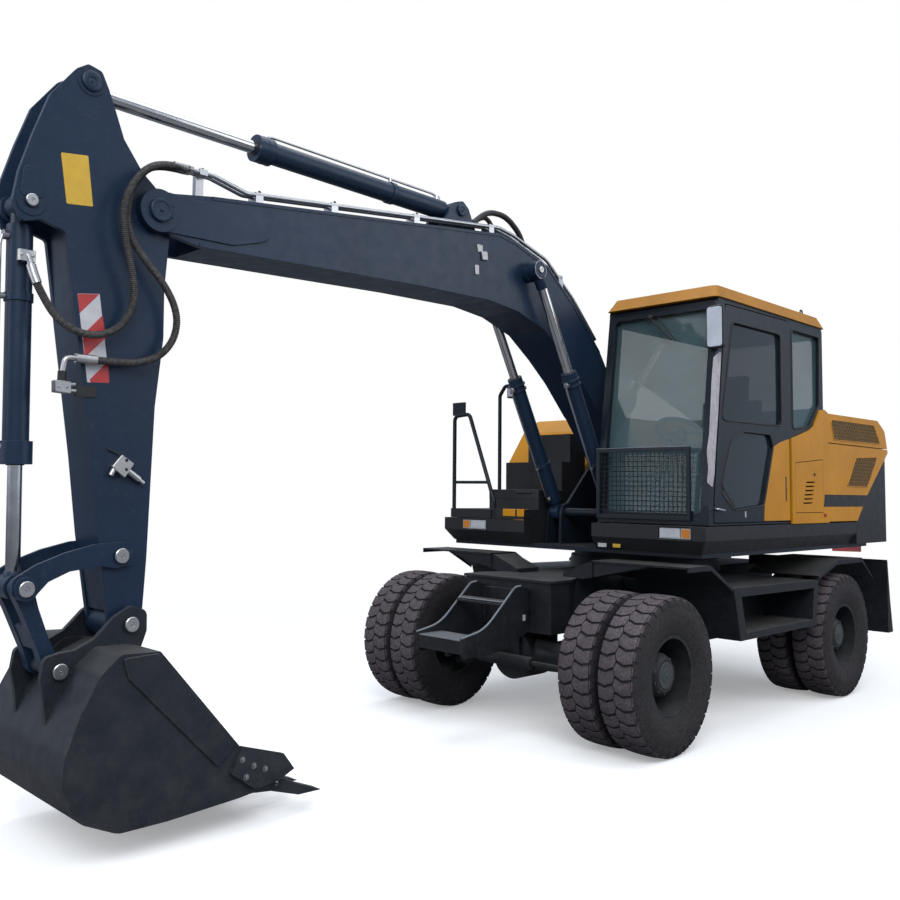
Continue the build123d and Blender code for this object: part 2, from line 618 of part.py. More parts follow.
def cab_frame():
    """The cab's welded panels: floor, top plate, side walls, rear wall and windscreen frame."""
    y_range = (CAB_INNER_Y, CAB_SIDE_Y)
    shell = side_plate(CAB_SIDE, y_range, [0, 60, 60, 40, 20, 40, 0])
    hollow = [(1120, 1540), (1116, 1660), (1092, 2040), (950, 3040), (948, 3100), (CAB_REAR_X + 40, 3100),
              (CAB_REAR_X + 40, 1540)]
    shell -= side_plate(hollow, (y_range[0] + CAB_WALL, y_range[1] - CAB_WALL))
    door_hole = [(1106, 1512), (1098, 1702), (908, 3106), (DOOR_REAR_X, 3120), (DOOR_REAR_X, 1512)]
    shell -= side_plate(door_hole, (y_range[1] - CAB_WALL - 5, y_range[1] + 5), [10, 10, 30, 30, 10])
    shell -= side_plate(QUARTER_WINDOW, (y_range[1] - CAB_WALL - 5, y_range[1] + 5), WINDOW_R)
    shell -= side_plate(RIGHT_WINDOW, (y_range[0] - 5, y_range[0] + CAB_WALL + 5), WINDOW_R)
    # A pocket for the filter behind the louvred hatch
    shell -= side_plate(HATCH_HOLE, (CAB_SIDE_Y - 30, CAB_SIDE_Y + 5))
    shell -= cross_plate(front_opening(0), (800, 1300), WINDOW_R)
    rear = cross_plate([(y_range[0] + 70, 2460), (y_range[1] - 70, 2460), (y_range[1] - 70, 3050),
                        (y_range[0] + 70, 3050)], (CAB_REAR_X - 10, CAB_REAR_X + 60), 40)
    shell -= rear
    long, wide, middle = (-1000, 1300), (0, 1500), (1540, 3100)
    inner = (y_range[0] + CAB_WALL, y_range[1] - CAB_WALL)
    panels = [
        (long, wide, (1400, middle[0])),
        (long, wide, (middle[1], 3300)),
        (long, (0, inner[0]), middle),
        (long, (inner[1], wide[1]), middle),
        ((long[0], CAB_REAR_X + 40), inner, middle),
        ((CAB_REAR_X + 40, long[1]), inner, middle),
    ]
    return [solid for panel in panels for solid in (shell & block(*panel)).solids()]


def cab_glass():
    """The fixed panes: windscreen, right side, rear and left quarter."""
    low, high = CAB_INNER_Y, CAB_SIDE_Y
    screen = [(1136, 1570), (1106, 2046), (964, 3070), (958, 3070), (1100, 2046), (1130, 1570)]
    gap = GLASS_GAP
    made = [side_plate(screen, (low + 58 + gap, high - 58 - gap))
            & cross_plate(front_opening(gap), (800, 1300), WINDOW_R - gap)]
    made.append(pane(RIGHT_WINDOW, low + 16, WINDOW_R))
    made.append(pane(QUARTER_WINDOW, high - 30, WINDOW_R))
    made.append(cross_plate(
        [(low + 70 + gap, 2460 + gap), (high - 70 - gap, 2460 + gap), (high - 70 - gap, 3050 - gap),
         (low + 70 + gap, 3050 - gap)], (CAB_REAR_X + 12, CAB_REAR_X + 12 + GLASS_T), WINDOW_R - gap))
    return made


def cab_roof():
    """The roof cap over the cab, thinner towards its edge."""
    low, high = CAB_INNER_Y - 6, UPPER_SIDE_Y + 12
    face_low = outline([(1050, low, CAB_TOP_Z), (1050, high, CAB_TOP_Z), (-846, high, CAB_TOP_Z),
                        (-846, low, CAB_TOP_Z)], 50)
    face_high = outline([(985, low + 40, ROOF_TOP_Z), (985, high - 40, ROOF_TOP_Z),
                         (-800, high - 40, ROOF_TOP_Z), (-800, low + 40, ROOF_TOP_Z)], 45)
    return loft([face_low, face_high])


def cab_door():
    """The cab door with its two window openings."""
    door = side_plate(DOOR_SIDE, (UPPER_SIDE_Y - 40, UPPER_SIDE_Y), [10, 10, 30, 30, 10])
    for hole, radius in DOOR_WINDOWS:
        door -= side_plate(hole, (UPPER_SIDE_Y - 45, UPPER_SIDE_Y + 5), radius)
    return door


def door_glass():
    """The two panes of the door."""
    return [pane(hole, UPPER_SIDE_Y - 24, radius) for hole, radius in DOOR_WINDOWS]


def cab_guard():
    """The guard over the lower half of the windscreen, as a frame with bars."""
    low, high = CAB_INNER_Y + 4, UPPER_SIDE_Y - 130
    x_range = (1180, 1200)
    frame = block(x_range, (low, high), (1530, 2056)) - block((1170, 1210), (low + 30, high - 30), (1560, 2026))
    for column in range(1, 6):
        y = low + (high - low) * column / 6
        frame += block((1186, 1194), (y - 4, y + 4), (1540, 2040))
    for row in range(1, 4):
        z = 1530 + 526 * row / 4
        frame += block((1186, 1194), (low + 10, high - 10), (z - 4, z + 4))
    for y in (low + 2, high - 32):
        frame += block((CAB_SIDE[0][0], 1182), (y, y + 30), (1535, 1600))
    return frame


def cab_seat():
    """The driver's seat on its pedestal."""
    y_range = (520, 1020)
    base = block((-80, 380), (600, 940), (1540.3, 1760))
    cushion = block((-120, 420), y_range, (1760, 1900))
    back = side_plate([(-110, 1880), (20, 1880), (-80, 2480), (-180, 2480)], y_range, 30)
    head = side_plate([(-150, 2470), (-70, 2470), (-90, 2700), (-170, 2700)], (640, 900), 25)
    return base + cushion + back + head


def cab_controls():
    """Steering column and wheel with a console on each side of the seat."""
    column = side_plate([(800, 1540.3), (900, 1540.3), (752, 2204.2), (688, 2167.2)], (730, 810))
    tilt = Plane((720, 770, 2186), z_dir=(-0.5, 0, 0.866))
    wheel = extrude(tilt * (Circle(190) - Circle(160)), 26) + extrude(tilt * Circle(46), 34)
    wheel += extrude(tilt * Rectangle(40, 340), 14)
    made = [column, wheel]
    for y in (400, 1040):
        side = block((-120, 380), (y, y + 70), (1540.3, 2000))
        made.append(side + bar_z(330, y + 35, 16, (1990, 2160)))
    return made


# Boom

BOOM_TOP = [(300.0, 2110.0), (912.0, 2860.0), (1263.0, 3194.0), (1600.0, 3440.0), (2000.0, 3552.0),
            (2160.0, 3575.0), (4559.0, 3290.0), (4800.0, 3250.0)]
BOOM_BOTTOM = [(4849.0, 3040.0), (4630.0, 3001.0), (3000.0, 3062.0), (2280.0, 3074.0), (1954.0, 3038.0),
               (1637.0, 2938.0), (1395.0, 2774.0), (1173.0, 2598.0), (912.0, 2339.0), (540.0, 1930.0)]


def boom():
    """The one-piece boom: a box with a bent back, a foot tube and a forked tip."""
    web = [BOOM_FOOT[0] - 90.0, BOOM_FOOT[1] + 70.0]
    points = [tuple(web)] + BOOM_TOP[1:] + BOOM_BOTTOM
    body = side_plate(points, (-BOOM_HALF_W, BOOM_HALF_W))
    body += bar_y(BOOM_FOOT, 118, (-BOOM_HALF_W, BOOM_HALF_W))
    body += bar_y(BOOM_TIP, 112, (-BOOM_HALF_W - 14, BOOM_HALF_W + 14))
    body -= bar_y(BOOM_FOOT, PIN_R + PIN_GAP, (-BOOM_HALF_W - 5, BOOM_HALF_W + 5))
    slot = (4600, BOOM_TIP[0] + 130)
    body -= block(slot, (-BOOM_FORK_GAP, BOOM_FORK_GAP), (2900, 3400))
    body += bar_y(BOOM_TIP, PIN_R, (-BOOM_HALF_W - 22, BOOM_HALF_W + 22))
    eye = BOOM_CYLINDER_EYE
    body += bar_y(eye, 78, (-BOOM_CYLINDER_Y + 44, BOOM_CYLINDER_Y - 44))
    foot_x, foot_z = ARM_CYLINDER_FOOT
    ear = [(foot_x - 190, 3500), (foot_x + 260, 3460), (foot_x + 60, foot_z + 50), (foot_x - 20, foot_z + 74),
           (foot_x - 80, foot_z + 30)]
    for y_range in ((66, 96), (-96, -66)):
        body += side_plate(ear, y_range, [0, 0, 30, 30, 30])
    return body + bar_y(ARM_CYLINDER_FOOT, PIN_R, (-104, 104))


def boom_top_z(x):
    """Height of the boom's back at a place along X."""
    for (x0, z0), (x1, z1) in zip(BOOM_TOP, BOOM_TOP[1:]):
        if x0 <= x <= x1:
            return z0 + (z1 - z0) * (x - x0) / (x1 - x0)
    raise ValueError(x)


def boom_pipes():
    """The steel pipes along the boom's back, in clamps that stand on the top plate."""
    made = None
    for y, tip_y in zip(PIPE_Y + tuple(-y for y in PIPE_Y), PIPE_TIP_Y * 2):
        stops = (960, 1263, 1600, 2000, 2160, 4330) if y > 0 else (960, 1263, 1600, 2000, 2160, 2420)
        route = [(x, y, boom_top_z(x) + PIPE_LIFT) for x in stops]
        bend = [200, 200, 200, 200]
        if y > 0:
            route += [(4570, tip_y, HOSE_START_Z), (HOSE_START_X, tip_y, HOSE_START_Z)]
            bend += [120, 80]
        pipe = tube_along(route, PIPE_R, bend)
        made = pipe if made is None else made + pipe
    for x, side in ((1430, 1), (1430, -1), (2250, 1), (2250, -1), (3000, 1), (3700, 1), (4250, 1)):
        low, high = boom_top_z(x - 25), boom_top_z(x + 25)
        top = high + PIPE_LIFT + 16
        clamp = side_plate([(x - 25, low), (x + 25, high), (x + 25, top), (x - 25, top)], (92, 170))
        made += clamp if side > 0 else mirrored(clamp)
    # The last clamp stands on the fork's left cheek
    cheek_y = BOOM_FORK_GAP + 2
    low, high = 4616, 4664
    made += side_plate([(low, boom_top_z(low)), (high, boom_top_z(high)), (high, HOSE_START_Z + 16),
                        (low, HOSE_START_Z + 16)], (cheek_y, BOOM_HALF_W))
    return made + block((low, high), (cheek_y, PIPE_TIP_Y[1] + 16), (HOSE_START_Z - 16, HOSE_START_Z + 16))


def hose(points):
    """A hose along straight runs, joined by arcs as large as the runs allow."""
    corners = [Vector(*p) for p in points]
    radii = []
    for before, corner, after in zip(corners, corners[1:], corners[2:]):
        turn = math.radians((corner - before).get_angle(after - corner))
        run = min((corner - before).length, (after - corner).length)
        radii.append(HOSE_ARC_SHARE * run / math.tan(turn / 2))
    path = FilletPolyline(*points, radius=radii)
    print("hose arcs", [round(r) for r in radii], "length", round(path.length))
    return sweep(Plane(path @ 0, z_dir=path % 0) * Circle(HOSE_R), path=path)


# From the pipes' ends over the arm's pivot, down the arm's left side
HOSE_TO_CYLINDER = [
    (HOSE_START_X, PIPE_TIP_Y[1], HOSE_START_Z), (4865, PIPE_TIP_Y[1], HOSE_START_Z), (5020, 238, 3300),
    (5110, 236, 3120), (5090, 230, 2935), (5025, 210, 2760), (5005, 190, 2640), (5054, 186, 2525), (5156, 182, 2453),
    (5281, 176, 2446), (5390, 160, 2507), (5451, 130, 2616), (5481, 100, 2701),
]
HOSE_TO_ARM = [
    (HOSE_START_X, PIPE_TIP_Y[0], HOSE_START_Z), (4880, PIPE_TIP_Y[0], HOSE_START_Z), (4998, 184, 3304),
    (5060, 186, 3155), (5055, 184, 2990), (4960, 192, 2865), (4850, 206, 2755), (4775, 212, 2620), (4778, 204, 2490),
    (4850, 192, 2385), (4970, 180, 2335), (5110, 168, 2330), (5215, 162, 2330),
]


# Cylinders

def unit(start, end):
    """Unit direction and length between two pins given by X and Z."""
    length = math.hypot(end[0] - start[0], end[1] - start[1])
    return ((end[0] - start[0]) / length, (end[1] - start[1]) / length), length


def along(start, direction, distance, y=0.0):
    """A 3D point at a distance from a pin."""
    return (start[0] + direction[0] * distance, y, start[1] + direction[1] * distance)


def cylinder_barrel(foot, eye, size, y=0.0):
    """Barrel with its foot eye, gland and open bore. size gives the lengths and radii."""
    direction, _ = unit(foot, eye)
    reach, barrel_r, gland_r, rod_r, eye_r, eye_half = size
    neck_end = eye_r + 36
    body = bar_between(along(foot, direction, 0, y), along(foot, direction, neck_end, y), eye_half - 2)
    body += bar_between(along(foot, direction, neck_end, y), along(foot, direction, reach, y), barrel_r)
    body += bar_between(along(foot, direction, reach - 110, y), along(foot, direction, reach, y), gland_r)
    body += bar_y(foot, eye_r, (y - eye_half, y + eye_half))
    body -= bar_between(along(foot, direction, neck_end + 24, y), along(foot, direction, reach + 5, y),
                        rod_r + BEARING_GAP)
    return body - bar_y(foot, PIN_R + PIN_GAP, (y - eye_half - 5, y + eye_half + 5))


def cylinder_rod(foot, eye, size, y=0.0):
    """Rod with its eye and the pin's middle, which moves with it."""
    direction, length = unit(foot, eye)
    reach, barrel_r, gland_r, rod_r, eye_r, eye_half = size
    # The rod's inner end stays inside the barrel at full reach
    start = eye_r + 36 + ROD_START[foot]
    rod = bar_between(along(foot, direction, start, y), along(foot, direction, length - 20, y), rod_r)
    return rod + bar_y(eye, eye_r, (y - eye_half, y + eye_half))


# Reach of the barrel, then radii of barrel, gland, rod and eye, and half width of the eyes
ROD_START = {BOOM_CYLINDER_FOOT: 620.0, ARM_CYLINDER_FOOT: 960.0, BUCKET_CYLINDER_PIN: 560.0}
BOOM_CYLINDER = (1216.0, 55.0, 58.0, 35.0, 66.0, 38.0)
ARM_CYLINDER = (1684.0, 65.0, 79.0, 38.0, 70.0, 54.0)
BUCKET_CYLINDER = (1244.0, 61.0, 78.0, 34.0, 60.0, 46.0)


# Arm

ARM_OUTLINE = [(5320.0, 3768.0), (5262.0, 3808.0), (5190.0, 3792.0), (5150.0, 3712.0), (5118.0, 3632.0),
               (5060.0, 3480.0), (4954.0, 3337.0),
               (4790.0, 3200.0), (4786.0, 3050.0), (4809.0, 2751.0), (4806.0, 2489.0), (4844.0, 2127.0),
               (4866.0, 1353.0), (4884.0, 1040.0), (4972.0, 952.0), (5060.0, 1040.0), (5131.0, 1473.0),
               (5182.0, 1871.0), (5290.0, 2579.0), (5347.0, 2945.0), (5470.0, 2980.0), (5560.0, 2950.0),
               (5606.0, 3050.0), (5583.0, 3189.0), (5522.0, 3389.0), (5447.0, 3599.0)]
ARM_BOX = [(5060.0, 3480.0), (5300.0, 3575.0), (5392.0, 3350.0), (5360.0, 3100.0), (5330.0, 2945.0),
           (5290.0, 2579.0), (5182.0, 1871.0), (5131.0, 1473.0), (5060.0, 1100.0), (4972.0, 1100.0),
           (4884.0, 1100.0), (4866.0, 1353.0), (4844.0, 2127.0), (4806.0, 2489.0), (4809.0, 2751.0),
           (4786.0, 3050.0), (4790.0, 3200.0), (4954.0, 3337.0)]


def arm():
    """The arm: side plates to the pins, a box between them and bosses at each pin."""
    half = ARM_HALF_W
    rounding = [24.0] * len(ARM_OUTLINE)
    body = None
    for y_range in ((half - ARM_EAR_T, half), (-half, -half + ARM_EAR_T)):
        plate = side_plate(ARM_OUTLINE, y_range, rounding)
        body = plate if body is None else body + plate
    inner = half - ARM_EAR_T
    body += side_plate(ARM_BOX, (-inner, inner))
    body += bar_y(BUCKET_PIN, 86, (-half, half)) + bar_y(ARM_LINK_PIN, 60, (-half - 3, half + 3))
    body -= bar_y(BOOM_TIP, PIN_R + PIN_GAP, (-half - 5, half + 5))
    body -= bar_y(BUCKET_PIN, PIN_R + PIN_GAP, (-half - 5, half + 5))
    for pin, reach in ((ARM_HEAD_PIN, half + 10), (BUCKET_CYLINDER_PIN, half + 10)):
        for sign in (1, -1):
            body += bar_y(pin, 72, tuple(sorted((sign * (inner - 36), sign * (half + 4)))))
    body += bar_y(BUCKET_CYLINDER_PIN, PIN_R, (-half - 10, half + 10))
    body += bar_y(ARM_LINK_PIN, PIN_R, (-half - 34, half + 34))
    return body


# Bucket and its linkage

def side_links():
    """The pair of arched links from the arm to the linkage pin."""
    y_low = ARM_HALF_W + 5
    arch = [(4950, 1330), (4950, 1420), (5000, 1442), (5150, 1434), (5300, 1398), (5440, 1346), (5545, 1285),
            (5550, 1215), (5500, 1178), (5435, 1206), (5380, 1264), (5278, 1308), (5120, 1326), (5040, 1312)]
    link = side_plate(arch, (y_low, y_low + SIDE_LINK_T), [25, 25, 30, 30, 30, 30, 30, 30, 25, 20, 20, 20, 20, 20])
    link -= bar_y(ARM_LINK_PIN, PIN_R + PIN_GAP, (y_low - 5, y_low + 40))
    link += bar_y(LINK_PIN, 56, (y_low - 3, y_low + 36))
    return both(link)


def h_link():
    """The link from the bucket to the linkage pin: two waisted bars and a middle web."""
    direction, length = unit(BUCKET_LINK_PIN, LINK_PIN)

    def spot(along_link, towards_bucket):
        """X and Z at a distance along the link and to the bucket's side of its middle line."""
        return (BUCKET_LINK_PIN[0] + direction[0] * along_link - direction[1] * towards_bucket,
                BUCKET_LINK_PIN[1] + direction[1] * along_link + direction[0] * towards_bucket)

    profile = [spot(0, -46), spot(110, -38), spot(310, -42), spot(length, -50), spot(length, 48),
               spot(300, 34), spot(130, 28), spot(40, 36), spot(0, 44)]
    bars = None
    for low, high in ((64, 128), (-128, -64)):
        bar = side_plate(profile, (low, high))
        bar += bar_y(LINK_PIN, 50, (low, high)) + bar_y(BUCKET_LINK_PIN, 48, (low, high))
        bars = bar if bars is None else bars + bar
    bars += side_plate([spot(110, -34), spot(230, -36), spot(230, 14), spot(110, 10)], (-66, 66), 8)
    return bars - bar_y(BUCKET_LINK_PIN, PIN_R + PIN_GAP, (-135, 135))


BUCKET_SHELL = [(4960.0, 941.0), (4496.0, 416.0), (4290.0, 232.0), (4300.0, 190.0), (4501.0, 168.0),
                (4899.0, 146.0), (5150.0, 146.0), (5347.0, 236.0), (5424.0, 411.0), (5411.0, 535.0),
                (5354.0, 686.0), (5258.0, 863.0), (5156.0, 948.0)]
BUCKET_HOLLOW = [(4930.0, 980.0), (4466.0, 436.0), (4250.0, 240.0), (4310.0, 214.0), (4505.0, 192.0),
                 (4901.0, 170.0), (5144.0, 170.0), (5330.0, 254.0), (5400.0, 414.0), (5388.0, 530.0),
                 (5333.0, 675.0), (5241.0, 846.0), (5150.0, 924.0), (4968.0, 917.0)]


def bucket():
    """The bucket: bent wrapper, side plates, lip with teeth, side cutters and hinge ears."""
    half = BUCKET_HALF_W
    body = side_plate(BUCKET_SHELL, (-half, half), [0, 0, 0, 0, 0, 60, 120, 120, 120, 120, 120, 90, 50])
    body -= side_plate(BUCKET_HOLLOW, (-half + BUCKET_SHEET, half - BUCKET_SHEET),
                       [0, 0, 0, 0, 0, 50, 100, 100, 100, 100, 100, 70, 30, 0])
    body += side_plate([(4420, 250), (4310, 232), (4262, 190), (4440, 176)], (-half, half))
    ear_low = BUCKET_EAR_Y - BUCKET_EAR_T
    # Between the ears the back is drawn in, so that the arm's tip clears it at full dump
    body -= side_plate([(5030, 943), (5030, 1000), (5270, 1000), (5270, 852)], (-ear_low + 2, ear_low - 2))
    body += side_plate([(5030, 943), (5250, 859.5), (5243, 841), (5023, 924)], (-ear_low, ear_low))
    ear = [(4972, 1128), (4886, 1100), (4884, 1000), (4915, 915), (5150, 925), (5230, 860), (5340, 660),
           (5376, 540), (5396, 720), (5416, 820), (5400, 920), (5330, 934), (5255, 940), (5158, 984),
           (5060, 1080)]
    rounding = [40, 40, 40, 20, 20, 20, 20, 0, 0, 30, 35, 20, 20, 40, 20]
    for y_range in ((ear_low, BUCKET_EAR_Y), (-BUCKET_EAR_Y, -ear_low)):
        body += side_plate(ear, y_range, rounding)
    reach = BUCKET_EAR_Y + 12
    body += bar_y(BUCKET_PIN, PIN_R, (-reach, reach)) + bar_y(BUCKET_LINK_PIN, PIN_R, (-reach, reach))
    for index in range(5):
        y = -half + 50 + index * (2 * half - 100) / 4
        tooth = [(4440, 176), (4430, 262), (4300, 244), (4120, 160), (3965, 100), (4120, 104), (4300, 160)]
        body += side_plate(tooth, (y - 42, y + 42))
    cutter = [(4560, 300), (4500, 425), (4243, 346), (4173, 257), (4271, 215), (4420, 200)]
    for y_range in ((half - 4, half + 22), (-half - 22, -half + 4)):
        body += side_plate(cutter, y_range)
    return body


def parts():
    """Every node's name with its solid or solids."""
    made = {
        "chassis_frame": chassis_frame(),
        "front_steps": front_steps(),
        "side_step_boxes": both(side_step_box()),
        "front_axle": front_axle(),
        "rear_axle": rear_axle(),
        "knuckle_left": knuckle(),
        "knuckle_right": mirrored(knuckle()),
        "tie_rods": tie_rods(),
        "upper_frame": upper_frame(),
        "counterweight": counterweight(),
        "lower_skirts": lower_skirts(),
        "lamps": lamps(),
        "engine_block": engine_block(),
        "engine_hood": engine_hood(),
        "side_door_left": side_door(1),
        "side_door_right": side_door(-1),
        "side_panels": side_panels(),
        "filter_hatch": filter_hatch(),
        "right_boxes": right_boxes(),
        "handrails": [rails_and_mirrors(), lamp_post()],
        "cab_mirror": cab_mirror(),
        "cab_frame": cab_frame(),
        "cab_glass": cab_glass(),
        "cab_roof": cab_roof(),
        "cab_guard": cab_guard(),
        "cab_seat": cab_seat(),
        "cab_controls": cab_controls(),
        "cab_door": cab_door(),
        "door_glass": door_glass(),
        "boom": boom(),
        "boom_pipes": boom_pipes(),
        "arm_hose_front": hose(HOSE_TO_CYLINDER),
        "arm_hose_rear": hose(HOSE_TO_ARM),
        "arm": arm(),
        "bucket": bucket(),
        "bucket_side_links": side_links(),
        "bucket_h_link": h_link(),
    }
    front, rear = fenders()
    made["fenders"] = both(front) + both(rear)
    made["rear_flaps"] = both(rear_flap())
    for end, x in (("front", FRONT_AXLE_X), ("rear", REAR_AXLE_X)):
        for name, side in (("left", 1), ("right", -1)):
            made[f"tyres_{end}_{name}"] = [tyre(x, y) for y in twin_centres(side)]
            made[f"rim_{end}_{name}"] = rim(x, side)
    feet = (BOOM_CYLINDER_FOOT, BOOM_CYLINDER_EYE, BOOM_CYLINDER, BOOM_CYLINDER_Y)
    made["boom_cylinder_barrels"] = both(cylinder_barrel(*feet))
    made["boom_cylinder_rods"] = both(cylinder_rod(*feet))
    for name, foot, eye, size in (("arm", ARM_CYLINDER_FOOT, ARM_HEAD_PIN, ARM_CYLINDER),
                                  ("bucket", BUCKET_CYLINDER_PIN, LINK_PIN, BUCKET_CYLINDER)):
        made[f"{name}_cylinder_barrel"] = cylinder_barrel(foot, eye, size)
        made[f"{name}_cylinder_rod"] = cylinder_rod(foot, eye, size)
    return made


def write(name, shape):
    """One STEP file for a node, shifted so that the origin lies on the ground below the middle."""
    solids = [s for item in (shape if isinstance(shape, list) else [shape]) for s in item.solids()]
    moved = [Pos(SLEW_X, 0, TYRE_R - AXLE_Z) * s for s in solids]
    export_step(moved[0] if len(moved) == 1 else Compound(moved), f"parts/{name}.step")


os.makedirs("parts", exist_ok=True)
for node, shape in parts().items():
    write(node, shape)
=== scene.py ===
"""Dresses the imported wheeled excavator: materials, tyres' tread, hoses, glass and small fittings.

Places are in millimetres from the slewing axis and the ground, apart from those of the camera, the
hoses, the tyres and the stage, which are in metres in the row frame.
"""
import bpy
import bmesh
import math
from mathutils import Matrix, Vector


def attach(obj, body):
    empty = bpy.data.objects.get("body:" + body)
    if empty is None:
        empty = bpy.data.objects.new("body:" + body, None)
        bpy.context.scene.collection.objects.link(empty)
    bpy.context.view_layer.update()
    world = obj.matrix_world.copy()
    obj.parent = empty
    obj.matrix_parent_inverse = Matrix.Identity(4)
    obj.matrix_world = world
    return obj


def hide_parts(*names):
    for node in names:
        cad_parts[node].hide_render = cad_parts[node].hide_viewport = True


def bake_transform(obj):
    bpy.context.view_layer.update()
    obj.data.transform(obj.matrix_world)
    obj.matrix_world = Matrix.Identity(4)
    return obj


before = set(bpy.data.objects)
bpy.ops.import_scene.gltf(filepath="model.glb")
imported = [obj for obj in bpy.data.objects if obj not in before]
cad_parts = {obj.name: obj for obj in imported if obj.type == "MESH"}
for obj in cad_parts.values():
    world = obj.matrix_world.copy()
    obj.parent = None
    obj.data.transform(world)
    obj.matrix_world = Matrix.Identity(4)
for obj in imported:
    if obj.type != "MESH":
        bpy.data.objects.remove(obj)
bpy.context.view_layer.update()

# The slewing axis in the row frame, in metres
SLEW_X = -1.628

# Left and right, and the directions that fittings stand in
SIDES = (1, -1)
LEFT = (0, 1, 0)
UP = (0, 0, 1)

# Photograph's camera: place and angles from the fit to the tyres
CAMERA_PLACE = (7.185 + SLEW_X, 4.416, 1.705)
CAMERA_YAW = -2.322
CAMERA_PITCH = 0.066
CAMERA_ROLL = 0.013
CAMERA_LENS = 36.83
CAMERA_SHIFT = (0.0667, -0.0208)

# Hoses: routes as in the part's source, here in metres
HOSE_R = 0.020
HOSE_RIB = 0.003
HOSE_TO_CYLINDER = [
    (3.092, 0.196, 3.395), (3.237, 0.196, 3.395), (3.392, 0.238, 3.300), (3.482, 0.236, 3.120),
    (3.462, 0.230, 2.935), (3.397, 0.210, 2.760), (3.377, 0.190, 2.640), (3.426, 0.186, 2.525),
    (3.528, 0.182, 2.453), (3.653, 0.176, 2.446), (3.762, 0.160, 2.507), (3.823, 0.130, 2.616),
    (3.853, 0.100, 2.701),
]
HOSE_TO_ARM = [
    (3.092, 0.152, 3.395), (3.252, 0.152, 3.395), (3.370, 0.184, 3.304), (3.432, 0.186, 3.155),
    (3.427, 0.184, 2.990), (3.332, 0.192, 2.865), (3.222, 0.206, 2.755), (3.147, 0.212, 2.620),
    (3.150, 0.204, 2.490), (3.222, 0.192, 2.385), (3.342, 0.180, 2.335), (3.482, 0.168, 2.330),
    (3.587, 0.162, 2.330),
]

# Tyres
TYRE_R = 0.524
RIM_R = 0.256
TWIN_Y = (1.116, 0.806)
AXLE_X = {"front": 1.650 + SLEW_X, "rear": -1.200 + SLEW_X}
CASING_SEGMENTS = 92
TREAD_PITCHES = 34
TREAD_DEPTH = 0.016
TREAD_HALF_W = 0.114
GROOVE = 0.0185
WHEEL_NUTS = 10
NUT_CIRCLE_R = 0.118

# Pins of the working arm, as X and Z
BOOM_FOOT = (420, 2000)
BOOM_TIP = (4873, 3142)
BOOM_CYLINDER_FOOT = (880, 1560)
BOOM_CYLINDER_EYE = (1850, 3345)
BOOM_CYLINDER_Y = 262
ARM_CYLINDER_FOOT = (2494, 3686)
ARM_HEAD_PIN = (5244, 3724)
BUCKET_CYLINDER_PIN = (5520, 3058)
LINK_PIN = (5487, 1238)
SIDE_LINK_PIN = (5018, 1373)
BUCKET_PIN = (4972, 1038)
BUCKET_LINK_PIN = (5327, 851)

# Outer faces of the arm, boom, body, filter cover and lamps' front
ARM_SIDE_Y = 130
BOOM_SIDE_Y = 170
BODY_SIDE_Y = 1240
COVER_Y = 1252
DECK_FRONT_X = 1240


def at(x, y, z):
    """A point in metres in the row frame, from millimetres measured from the slewing axis."""
    return Vector((x / 1000 + SLEW_X, y / 1000, z / 1000))


# Camera

def make_camera():
    """The camera at the photograph's viewpoint."""
    forward = Vector((math.cos(CAMERA_PITCH) * math.cos(CAMERA_YAW),
                      math.cos(CAMERA_PITCH) * math.sin(CAMERA_YAW), math.sin(CAMERA_PITCH)))
    level = forward.cross(Vector(UP)).normalized()
    upright = level.cross(forward)
    right = math.cos(CAMERA_ROLL) * level + math.sin(CAMERA_ROLL) * upright
    up = -math.sin(CAMERA_ROLL) * level + math.cos(CAMERA_ROLL) * upright
    data = bpy.data.cameras.new("camera")
    data.lens = CAMERA_LENS
    data.sensor_width = 36.0
    data.shift_x, data.shift_y = CAMERA_SHIFT
    data.clip_end = 200.0
    camera = bpy.data.objects.new("camera", data)
    bpy.context.scene.collection.objects.link(camera)
    turn = Matrix((right, up, -forward)).transposed().to_4x4()
    camera.matrix_world = Matrix.Translation(CAMERA_PLACE) @ turn
    bpy.context.scene.camera = camera


# Material building

MATERIALS = {}


